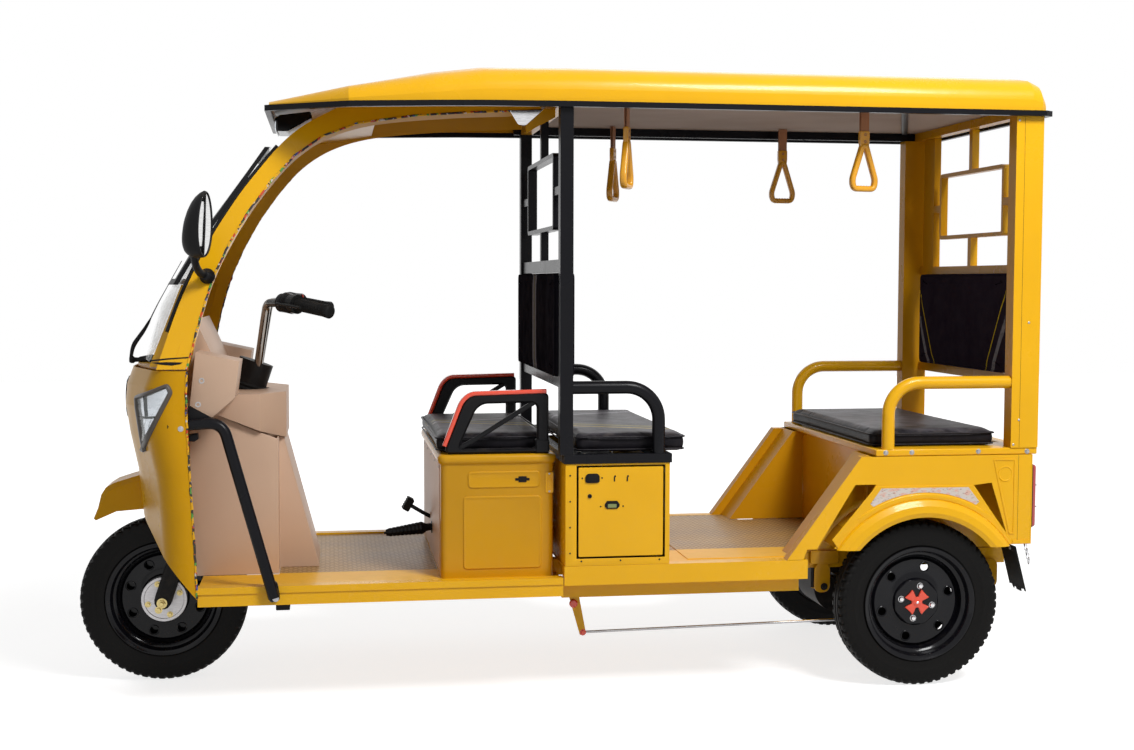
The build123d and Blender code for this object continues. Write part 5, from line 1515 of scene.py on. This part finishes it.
def addLegGuards():  # the bolted, flattened ends of the guard bars
    ends, bolts = newShapes(2)
    for side in (1, -1):
        rows = roundedOutline(legGuard["endPlate"], 0.012, 5)
        plate(ends, rows, sideWall(side, legGuard["wall"]), legGuard["endThick"], 0.005)
        boltHead(bolts, sidePlace(side, legGuard["endBolt"]), (0, side, 0), 0.006, 0.005)
        turned(ends, sidePlace(side, legGuard["collar"]), (-1, 0, 0), legGuard["collarProfile"], 24)
        boltHead(bolts, onCowl(*legGuard["cowlBolt"], side), (0, side, 0), 0.0052, 0.004)
    addPiece("legGuardEnds", ends, "frameBlack")
    addPiece("legGuardBolts", bolts, "plainSteel")
    brackets = bmesh.new()
    for side in (1, -1):
        rows = rectangle(*legGuard["bracket"], 0.003)
        plate(brackets, rows, sideWall(side, legGuard["bracketSide"]), legGuard["bracketLong"], 0.002)
    addPiece("sillBrackets", brackets, "chassisBlack")


dashDetails = {
    "panels": (((0.113, 0.868), (0.124, 0.866), (0.18, 0.833), (0.176, 0.824), (0.113, 0.824)),
               ((0.113, 0.788), (0.138, 0.792), (0.14, 0.776), (0.128, 0.769), (0.114, 0.771))),
    "panelSide": 0.395, "panelThick": 0.036,
    "screws": ((0.151, 0.4295, 0.939), (0.1405, 0.4295, 0.873)),
    "screwProfile": ((0, 0.0078), (0.001, 0.0078), (0.0012, 0.0045), (-0.002, 0.004)),
}


# painted shade: black sheets inside the cowl's rear opening, where its inside lies in shade, and the dash
# screws
def addDashDetails():
    dark, screws = newShapes(2)
    for side in (1, -1):
        for rows in dashDetails["panels"]:
            plate(dark, rows, sideWall(side, dashDetails["panelSide"]), dashDetails["panelThick"], 0.002)
        for place in dashDetails["screws"]:
            turned(screws, sidePlace(side, place), (0, side, 0), dashDetails["screwProfile"], 20)
    addPiece("cowlShadePanels", dark, "blackPlastic")
    addPiece("dashScrews", screws, "plainSteel")


addHeadlamps()
addNosePlate()
addWiper()
addMirrors()
addLegGuards()
addDashDetails()
print("nose done")

# how far in from the outline, and the share of the depth: a border, a sewn channel and the swelling middle
backrestSection = ((0.0, 0.0), (0.0, 0.3), (0.0015, 0.6), (0.005, 0.8), (0.011, 0.9), (0.0145, 0.86),
                   (0.0175, 0.9),
                   (0.03, 0.955))
# piece: node, aft of the board's face and back, half width, foot and top, finish, which way it faces
backrests = {
    "frontBackrestAhead": ("front_backrest", 1.14, 1.1595, 0.42, 0.941, 1.241, "frontBackVinyl", 1),
    "frontBackrestBehind": ("front_backrest", 1.202, 1.1845, 0.42, 0.941, 1.241, "frontBackVinyl", -1),
    "rearBackrestPad": ("rear_backrest", 2.55, 2.5815, 0.345, 0.935, 1.244, "rearBackVinyl", 1),
}


def addBackrests():
    for name, (node, face, back, half, low, high, finish, way) in backrests.items():
        shape = bmesh.new()
        depth = abs(back - face)
        rows = rectangle((-half, low), (half, high), 0.02, 5)
        middle = Vector((0, (low + high) / 2))
        rings = [[at(back - way * depth * share, p.x, p.y) for p in inset(rows, amount)]
                 for amount, share in backrestSection]
        for scale in (0.8, 0.62, 0.42, 0.2):
            share = 1.0 - 0.045 * scale ** 2
            rings.append([at(back - way * depth * share, *(middle + (p - middle) * scale)) for p in rows])
        loft(shape, rings)
        piece = addPiece(name, shape, finish, sharp=70, replaces=(node,))
        cord = bmesh.new()
        path = [at(back - way * depth * 0.84, p.x, p.y) for p in inset(rows, 0.004)]
        ringSweep(cord, path, roundSection(weltRadius, 8), Vector((1, 0, 0)))
        addPiece(name + "Cord", cord, finish)


strap = {
    "rows": ((1.366, 0.35, 64), (2.09, 0.35, 12), (1.456, -0.35, 62), (2.05, -0.35, 6)),
    "webTop": 1.74, "webFoot": 1.636, "webHalf": 0.0145, "clasp": (1.614, 1.668),
    "rivet": ((0, 0.0045), (0.0012, 0.0042), (0.0014, 0.0022), (0.0002, 0.0018)),
    "ribs": 5, "ribPitch": 0.01, "ribProfile": ((0, 0.003), (0.002, 0.0042), (0.01, 0.0042), (0.012, 0.003)),
    "loop": ((-0.006, 1.623), (0.006, 1.623), (0.04, 1.52), (0.034, 1.495), (-0.034, 1.495), (-0.04, 1.52)),
}


def addStraps():  # hanging handles: a doubled web, a riveted clasp and a ribbed loop
    webs, clasps, loops, rivets = newShapes(4)
    for aftAt, side, turnAngle in strap["rows"]:
        turn = math.radians(turnAngle)
        across = Vector((math.cos(turn), math.sin(turn), 0))
        facing = Vector((math.sin(turn), -math.cos(turn), 0))
        foot = at(aftAt, side, 0)
        place = lambda a, b, out: foot + across * a + Vector((0, 0, b)) + facing * out
        half = strap["webHalf"]
        for out in (-0.0048, 0.0022):
            plate(webs, rectangle((-half, strap["webFoot"]), (half, strap["webTop"]), 0.001, 2),
                  lambda a, b, d: place(a, b, out + d), 0.0026, 0.0006)
        low, high = strap["clasp"]
        rows = ((-0.013, low), (0.013, low), (0.016, low + 0.022), (0.016, high), (-0.016, high),
                (-0.016, low + 0.022))
        rows = roundedOutline(rows, 0.004, 4)
        plate(clasps, rows, lambda a, b, d: place(a, b, -0.0075 + d), 0.015, 0.002)
        for up in (low + 0.022, high - 0.012):
            for way in (1, -1):
                spot = place(0, up, way * 0.0072)
                turned(rivets, spot, facing * way, strap["rivet"], 14)
        path = [place(p.x, p.y, 0) for p in roundedOutline(strap["loop"], 0.02, 7)]
        ringSweep(loops, path, boxSection(0.0165, 0.021, 0.007, 4), facing)
        for k in range(strap["ribs"]):  # finger ribs along the lower bar
            spot = place(-0.02 + strap["ribPitch"] * k, 1.5005, 0)
            turned(loops, spot - facing * 0.006, facing, strap["ribProfile"], 12)
    addPiece("strapWebs", webs, "strapBrown", replaces=("hanging_handles",))
    addPiece("strapClasps", clasps, "strapYellow")
    addPiece("strapLoops", loops, "strapYellow", sharp=50)
    addPiece("strapRivets", rivets, "strapBrown")


fender = {
    "corners": ((1.966, 0.455), (2.101, 0.613), (2.403, 0.611), (2.529, 0.44), (2.529, 0.4285)),
    "inner": 0.3215, "ends": (33.6, 146.4), "raise": 0.0035, "skin": 0.466,
    "beadArc": (0.329, 52, 128),
    "panel": ((2.082, 0.56), (2.116, 0.6055), (2.388, 0.6045), (2.423, 0.56)), "panelArc": (0.341, 62, 118),
    "emboss": ((2.4655, 0.688), (2.538, 0.687), (2.538, 0.458), (2.52, 0.458)), "dial": (2.506, 0.642, 0.024),
    "lip": ((2.532, 0.429), (2.5895, 0.441)),
    "screws": ((2.571, 0.466, 1.096), (2.545, 0.466, 0.804), (2.529, 0.466, 1.696), (2.529, 0.466, 0.73)),
    "seam": 2.547, "seamSpans": ((0.43, 0.699), (0.7215, 1.712)), "boltSide": 0.463,
    "bolts": ((2.211, 0.711), (2.575, 0.7085), (2.13, 0.711), (2.42, 0.711)),
}


def arcPoints(radius, first, last, steps):
    return [Vector((rearAxle - radius * math.cos(math.radians(first + (last - first) * k / steps)),
                    wheelHeight + radius * math.sin(math.radians(first + (last - first) * k / steps))))
            for k in range(steps + 1)]


def addFenders():  # the pressed panel over each rear wheel, its bead, inlay and bolts
    sheet, inlay, lines, bolts = newShapes(4)
    for side in (1, -1):
        skin = sideWall(side, fender["skin"])
        first, last = fender["ends"]
        rim = arcPoints(fender["inner"], 180 - first, 180 - last, 48)
        rows = [*fender["corners"], *rim]
        plate(sheet, rows, skin, fender["raise"], 0.0018)
        path = [at(p.x, side * (fender["skin"] + fender["raise"] - 0.001), p.y)
                for p in arcPoints(*fender["beadArc"], 44)]
        sweep(sheet, path, lambda t: boxSection(0.019, 0.0095 * min(1, 0.35 + 9 * min(t, 1 - t)), 0.0045),
              up=(0, side, 0))
        radius, low, high = fender["panelArc"]
        arc = arcPoints(radius, 180 - low, 180 - high, 26)
        plate(inlay, [*fender["panel"], *arc], sideWall(side, fender["skin"] + fender["raise"]), 0.0008,
              0.0003)
        outer = roundedOutline(fender["emboss"], 0.006, 3)
        bridgedPlate(sheet, outer, inset(outer, 0.0055), skin, 0.0022, 0.0009)
        a, b, radius = fender["dial"]
        turned(sheet, at(a, side * fender["skin"], b), (0, side, 0),
               [(0, radius), (0.0016, radius - 0.0012), (0.0016, radius - 0.004), (0.0003, radius - 0.0055)],
               40, caps=(False, True))
        for low, high in fender["seamSpans"]:
            rows = rectangle((fender["seam"], low), (fender["seam"] + 0.0012, high), 0.0004, 1)
            plate(lines, rows, skin, 0.0003, 0.0001)
        plate(sheet, rectangle(*fender["lip"], 0.002, 2), skin, 0.0022, 0.0008)
        for a, b in fender["bolts"]:
            boltHead(bolts, at(a, side * fender["boltSide"], b), (0, side, 0), 0.0052, 0.0048)
        for place in fender["screws"]:
            screwHead(bolts, sidePlace(side, place), (0, side, 0), 0.0036)
    addPiece("fenderPressings", sheet, "bodyYellow", sharp=40)
    addPiece("fenderInlays", inlay, "silverInlay")
    addPiece("panelSeams", lines, "seamBrown")
    addPiece("panelBolts", bolts, "plainSteel")


tail = {  # rows are side and up, on the tail's face
    "face": 2.5925,
    "base": ((0.374, 0.474), (0.463, 0.67)), "lens": ((0.3765, 0.4765), (0.461, 0.6675)),
    "lensSection": ((0, 0.004), (0, 0.01), (0.002, 0.014), (0.005, 0.0162), (0.008, 0.0172),
                    (0.0112, 0.0176)),
    "bars": (0.54, 0.605), "barEnds": (0.3775, 0.46), "barHalf": 0.0012,
    "flapAft": 2.545, "flapSides": (0.352, 0.455), "flapTop": 0.419, "flapFoot": 0.283, "flapLean": 0.26,
    "teeth": 18,
    "clip": ((0.352, 0.404), (0.455, 0.421)), "clipAft": 2.542,
    "clipBolts": ((2.5418, 0.375, 0.412), (2.5418, 0.432, 0.412)),
    "screws": ((2.592, 0.3, 0.68), (2.592, 0.02, 0.68), (2.592, 0.3, 0.445), (2.592, 0.02, 0.445),
               (2.592, 0.445, 0.445), (2.592, 0.445, 0.685)),
    "bolt": (2.592, 0.09, 0.56),
    "links": 5, "chainTop": (2.59, 0.43, 0.425), "linkReach": (0.0045, 0.01), "linkStep": (0.0035, 0.014),
    "frame": ((-0.15, 0.505), (0.15, 0.615)), "frameWide": 0.007,
}


def addTail():  # lamps, mud flaps, a hanging chain, the number plate's frame and the bolts
    lenses, bases, flaps, bolts = newShapes(4)
    for side in (1, -1):
        place = lambda a, b, out: at(tail["face"] + out, side * a, b)
        plate(bases, rectangle(*tail["base"], 0.01), place, 0.0045, 0.0012)
        rows = rectangle(*tail["lens"], 0.012, 5)
        loft(lenses, [[place(p.x, p.y, out) for p in inset(rows, amount)]
                      for amount, out in tail["lensSection"]])
        low, high = tail["barEnds"]
        for up in tail["bars"]:  # bars between the lamp's fields
            rows = rectangle((low, up - tail["barHalf"]), (high, up + tail["barHalf"]), 0.0005, 1)
            plate(bases, rows, lambda a, b, out: place(a, b, 0.0165 + out), 0.0022, 0.0004)
        low, high = tail["flapSides"]
        top, count = tail["flapTop"], tail["teeth"]
        ragged = [Vector((low, top)), Vector((high, top))]
        wobble = random.Random(7)
        for k in range(count + 1):
            ragged.append(Vector((high - 0.103 * k / count,
                                  tail["flapFoot"] + wobble.uniform(-0.01, 0.012) + 0.01 * (k % 2))))
        hang = lambda a, b, out: at(tail["flapAft"] + (top - b) * tail["flapLean"] + out, side * a, b)
        plate(flaps, ragged, hang, 0.005, 0.001)
        clipPlace = lambda a, b, out: at(tail["clipAft"] + out, side * a, b)
        plate(bases, rectangle(*tail["clip"], 0.002), clipPlace, 0.0028, 0.0008)
        for spot in tail["clipBolts"]:
            boltHead(bolts, sidePlace(side, spot), (1, 0, 0), 0.0048, 0.004)
        for spot in tail["screws"]:
            screwHead(bolts, sidePlace(side, spot), (-1, 0, 0), 0.004)
        boltHead(bolts, sidePlace(side, tail["bolt"]), (-1, 0, 0), 0.0065, 0.0055)
    addPiece("tailLenses", lenses, "tailRed", sharp=40, replaces=("tail_lamps",))
    addPiece("tailLampBases", bases, "blackPlastic")
    addPiece("mudFlaps", flaps, "rubberBlack", replaces=("mud_flaps",))
    addPiece("tailBolts", bolts, "plainSteel")
    chain = bmesh.new()
    aft, y, up = tail["chainTop"]
    aftStep, drop = tail["linkStep"]
    wide, tall = tail["linkReach"]
    for k in range(tail["links"]):
        spot = at(aft + aftStep * k, y, up - drop * k)
        path = [spot + Vector((wide * math.cos(a) * (k % 2), wide * math.cos(a) * (1 - k % 2),
                               tall * math.sin(a)))
                for a in (math.tau * n / 14 for n in range(14))]
        ringSweep(chain, path, roundSection(0.0022, 8), Vector((1 - k % 2, k % 2, 0)))
    addPiece("tailChain", chain, "brightSteel")
    rows = rectangle(*tail["frame"], 0.008)
    frameShape = bmesh.new()
    place = lambda a, b, out: at(2.592 + out, a, b)
    bridgedPlate(frameShape, rows, inset(rows, tail["frameWide"]), place, 0.0035, 0.001)
    addPiece("tailPlateFrame", frameShape, "blackPlastic")


underside = {
    "hangerSides": (0.2575, 0.3175), "hangers": (1.986, 2.528), "hangerHalf": 0.025,
    "hangerSpan": (0.358, 0.268),
    "stop": ((1.948, 0.356), (2.038, 0.397)), "stopSide": 0.313, "stopThick": 0.011,
    "clamps": (-0.052, -0.018, 0.018, 0.052), "clampFoot": 0.224, "clampTall": 0.09,
    "pin": (1.247, 0.306, 0.166), "pivot": (1.2173, 0.306, 0.255),
}


def addUnderside():  # spring hangers and clamps, loose wires under the floor and the brake arm's pins
    hangers, bolts, wires, redWires = newShapes(4)
    for side in (1, -1):
        for y in underside["hangerSides"]:
            for middle in underside["hangers"]:
                top, foot = underside["hangerSpan"]
                near, far = middle - underside["hangerHalf"], middle + underside["hangerHalf"]
                rows = roundedOutline([(near, top), (far, top), (far, foot), (near, foot)], 0.024, 6)
                plate(hangers, rows, sideWall(side, y), 0.005, 0.0012)
                boltHead(bolts, at(middle + 0.006, side * (y + 0.005), 0.286), (0, side, 0), 0.0075, 0.006)
        stopPlace = sideWall(side, underside["stopSide"])
        plate(hangers, rectangle(*underside["stop"], 0.003), stopPlace, underside["stopThick"], 0.0015)
        for k in underside["clamps"]:  # the clamp bolts over each spring
            spot = at(rearAxle + k * 0.5, side * (0.268 if abs(k) > 0.03 else 0.312), underside["clampFoot"])
            turned(bolts, spot, (0, 0, 1), [(0, 0.005), (underside["clampTall"], 0.005)], 12)
            boltHead(bolts, spot, (0, 0, -1), 0.0085, 0.008)
    for k, (shape, drop) in enumerate(((wires, 0.0), (redWires, 0.006), (wires, 0.012))):
        places = [at(1.325, 0.35 - 0.01 * k, 0.338), at(1.361, 0.402, 0.301 + drop), at(1.39, 0.404, 0.306),
                  at(1.419, 0.402, 0.323 - drop), at(1.455, 0.402, 0.317), at(1.488, 0.398, 0.301 + drop),
                  at(1.525, 0.35, 0.338)]
        sweep(shape, curvePoints(places, 0.03, 5), roundSection(0.0028, 8))
    # painted shade under the floor: the hangers take the darker shadowed yellow
    addPiece("springHangers", hangers, "shadowedYellow")
    addPiece("springBolts", bolts, "chassisBlack")
    addPiece("darkWires", wires, "rubberBlack")
    addPiece("redWires", redWires, "redTrim")
    pins = bmesh.new()
    boltHead(pins, at(*underside["pin"]), (0, 1, 0), 0.0065, 0.006)
    turned(pins, at(*underside["pivot"]), (0, 1, 0), [(0, 0.0125), (0.006, 0.0125), (0.009, 0.009)], 22)
    addPiece("brakeArmPins", pins, "redTrim")


edging = {
    "arch": ((0.112, 0.972), (0.127, 1.03), (0.147, 1.112), (0.18, 1.222), (0.222, 1.315), (0.274, 1.407),
             (0.338, 1.497), (0.41, 1.578), (0.49, 1.635), (0.588, 1.673), (0.752, 1.699), (0.919, 1.712),
             (1.127, 1.722)),
    "cowl": ((0.1335, 0.336), (0.1245, 0.545), (0.1185, 0.67), (0.1125, 0.778), (0.1105, 0.862),
             (0.1115, 0.92),
             (0.1135, 0.966)),
}


def edgeWall(up):  # how far out the arch's outer face is at a height
    return 0.452 - 0.264 * (up - 0.972)


def addEdging():  # a frayed edging strip down the arches and the cowl's rear edge
    shape = bmesh.new()
    for side in (1, -1):
        arch = [at(a + 0.001, side * (edgeWall(b) - 0.001), b) for a, b in edging["arch"]]
        cowl = [at(a + 0.001, side * 0.4655, b) for a, b in edging["cowl"]]
        for run in (arch, cowl):
            path = []
            for near, far in zip(run, run[1:]):
                parts = max(2, int((far - near).length / 0.006))
                for k in range(parts):
                    spot = near.lerp(far, k / parts)
                    fray = noise.noise(spot * 55) * 0.0016 + noise.noise(spot * 160) * 0.001
                    path.append(spot + Vector((fray, side * fray * 0.4, 0)))
            path.append(run[-1])
            sweep(shape, path, lambda t: boxSection(0.0062, 0.005, 0.0018, 2), up=(0, side, 0))
    addPiece("frayedEdging", shape, "frayedEdging", sharp=50)


roofDetails = {  # outlines are aft and up
    "lampHalf": 0.085,
    "lamp": ((0.352, 1.664), (0.348, 1.7), (0.357, 1.7115), (0.452, 1.7245), (0.457, 1.706), (0.384, 1.664)),
    "bracket": ((1.0166, 1.705), (1.116, 1.709), (1.0635, 1.6622), (1.0414, 1.6645)),
    "gusset": ((1.08, 1.708), (1.15, 1.7125), (1.15, 1.688), (1.09, 1.656), (1.065, 1.64),
               (1.0635, 1.6622)),
    "glass": ((-0.074, 1.668), (0.074, 1.706)), "glassAft": 0.3515,
    "bezel": ((-0.08, 1.662), (0.08, 1.711)), "bezelAft": 0.353,
    "screws": 9, "firstScrew": (1.22, 0.4635, 1.727), "screwPitch": 0.16,
    "cable": ((2.188, 0.424, 1.7375), (2.52, -0.424, 1.7375)),
}


# the lamp under the roof's nose, the screen's bracket, a cable's cover and the rail's screws
def addRoofDetails():
    body, glass, bracket, bolts, gusset = newShapes(5)
    half = roofDetails["lampHalf"]
    plate(body, roundedOutline(roofDetails["lamp"], 0.006, 4), lambda a, b, out: at(a, -half + out, b),
          2 * half, 0.004)
    glassPlace = lambda a, b, out: at(roofDetails["glassAft"] - out, a, b)
    plate(glass, rectangle(*roofDetails["glass"], 0.008), glassPlace, 0.006, 0.003)
    bezelPlace = lambda a, b, out: at(roofDetails["bezelAft"] - out, a, b)
    plate(body, rectangle(*roofDetails["bezel"], 0.01), bezelPlace, 0.003, 0.001)
    plate(bracket, roundedOutline(roofDetails["bracket"], 0.004, 3), sideWall(1, 0.388), 0.003, 0.001)
    plate(gusset, roofDetails["gusset"], sideWall(1, 0.38), 0.003, 0.001)
    aft, outward, up = roofDetails["firstScrew"]
    for side in (1, -1):
        for k in range(roofDetails["screws"]):
            screwHead(bolts, at(aft + roofDetails["screwPitch"] * k, side * outward, up), (0, side, 0),
                      0.0034)
    addPiece("roofLampBody", body, "glossBlack", replaces=("roof_lamp",))
    addPiece("roofLampLens", glass, "lampBright")
    addPiece("screenBracket", bracket, "brightSteel")
    # painted shade: the gusset takes the darker inner yellow
    addPiece("screenGusset", gusset, "innerShadeYellow")
    cover = bmesh.new()
    sweep(cover, [at(*place) for place in roofDetails["cable"]], boxSection(0.02, 0.006, 0.002))
    addPiece("roofCableCover", cover, "blackPlastic")
    addPiece("roofRailScrews", bolts, "plainSteel")


pedals = {
    "leverTip": (0.671, 0.04, 0.437), "leverRun": (-0.138, 0, 0.016),  # from the grip's tip back to the box
    "gripStart": ((-0.006, 0.0035), (0.0, 0.004), (0.0, 0.0095), (0.003, 0.011)),
    "gripEnd": ((0.116, 0.018), (0.126, 0.012), (0.145, 0.011)), "gripRibs": 9, "ribPitch": 0.012,
    "collar": (0.8155, 0.04, 0.452), "collarProfile": ((-0.001, 0.019), (0.004, 0.019), (0.006, 0.012)),
    "pad": (0.7425, -0.058, 0.513), "padSlope": (0.0775, 0, 0.044), "padHalf": (0.021, 0.026), "padRibs": 5,
    "armBend": (0.79, -0.058, 0.484), "armEnd": (0.8155, -0.058, 0.47),
}


def addPedals():  # the brake lever with its ribbed grip, and the pedal's ribbed pad
    lever, pads = newShapes(2)
    profile, pitch = [*pedals["gripStart"]], pedals["ribPitch"]
    for k in range(pedals["gripRibs"]):
        wide = 0.0118 + 0.0008 * k
        profile += [(0.008 + pitch * k, wide), (0.011 + pitch * k, wide + 0.0016),
                    (0.016 + pitch * k, wide + 0.0016)]
    turned(lever, at(*pedals["leverTip"]), Vector(pedals["leverRun"]), [*profile, *pedals["gripEnd"]], 20)
    turned(lever, at(*pedals["collar"]), (1, 0, 0), pedals["collarProfile"], 22)
    slope = Vector(pedals["padSlope"]).normalized()
    rise = Vector((-slope.z, 0, slope.x))
    foot = at(*pedals["pad"])
    place = lambda a, b, out: foot + rise * a + Vector((0, b, 0)) + slope * out
    tall, wide = pedals["padHalf"]
    plate(pads, rectangle((-tall, -wide), (tall, wide), 0.006), lambda a, b, out: place(a, b, out - 0.014),
          0.022, 0.003)
    for k in range(pedals["padRibs"]):
        rows = rectangle((-0.0175 + 0.0088 * k - 0.002, -0.022), (-0.0175 + 0.0088 * k + 0.002, 0.022), 0.001,
                         2)
        plate(pads, rows, lambda a, b, out: place(a, b, 0.0075 + out), 0.0022, 0.0006)
    arm = [foot + slope * 0.002, at(*pedals["armBend"]), at(*pedals["armEnd"])]
    sweep(lever, arm, boxSection(0.012, 0.008, 0.002), up=(0, 1, 0))
    addPiece("brakeLever", lever, "frameBlack", replaces=("floor_controls",))
    addPiece("pedalPads", pads, "rubberBlack")


gasket = {
    "front": ((0.064, 1.075), (0.09, 1.15), (0.116, 1.213), (0.145, 1.275), (0.179, 1.342), (0.22, 1.41),
              (0.264, 1.476),
              (0.313, 1.54), (0.364, 1.602)),
    "wedges": (((0.012, 0.9935), (0.06, 0.999), (0.118, 1.003), (0.118, 1.0065), (0.06, 1.003),
                (0.014, 0.9985)),
               ((0.015, 0.9915), (0.06, 0.9925), (0.102, 0.9915), (0.096, 0.9865), (0.072, 0.983),
                (0.04, 0.986))),
}


def addGaskets():  # rubber along the arches' front edges, and the open joint at their feet
    strips, wedges = newShapes(2)
    for side in (1, -1):
        path = [at(a - 0.006, side * (edgeWall(b) - 0.018), b) for a, b in gasket["front"]]
        sweep(strips, curvePoints(path, 0.02, 3), boxSection(0.012, 0.02, 0.004), up=(0, side, 0))
        for rows in gasket["wedges"]:
            plate(wedges, rows, lambda a, b, out: at(a, side * (edgeWall(b) + out), b), 0.0012, 0.0003)
    addPiece("screenGaskets", strips, "blackPlastic")
    addPiece("archFootJoints", wedges, "blackPlastic")


addBackrests()
addStraps()
addGaskets()
addFenders()
addTail()
addUnderside()
addEdging()
addRoofDetails()
addPedals()
print("backrests, straps, rear panels and edging done")
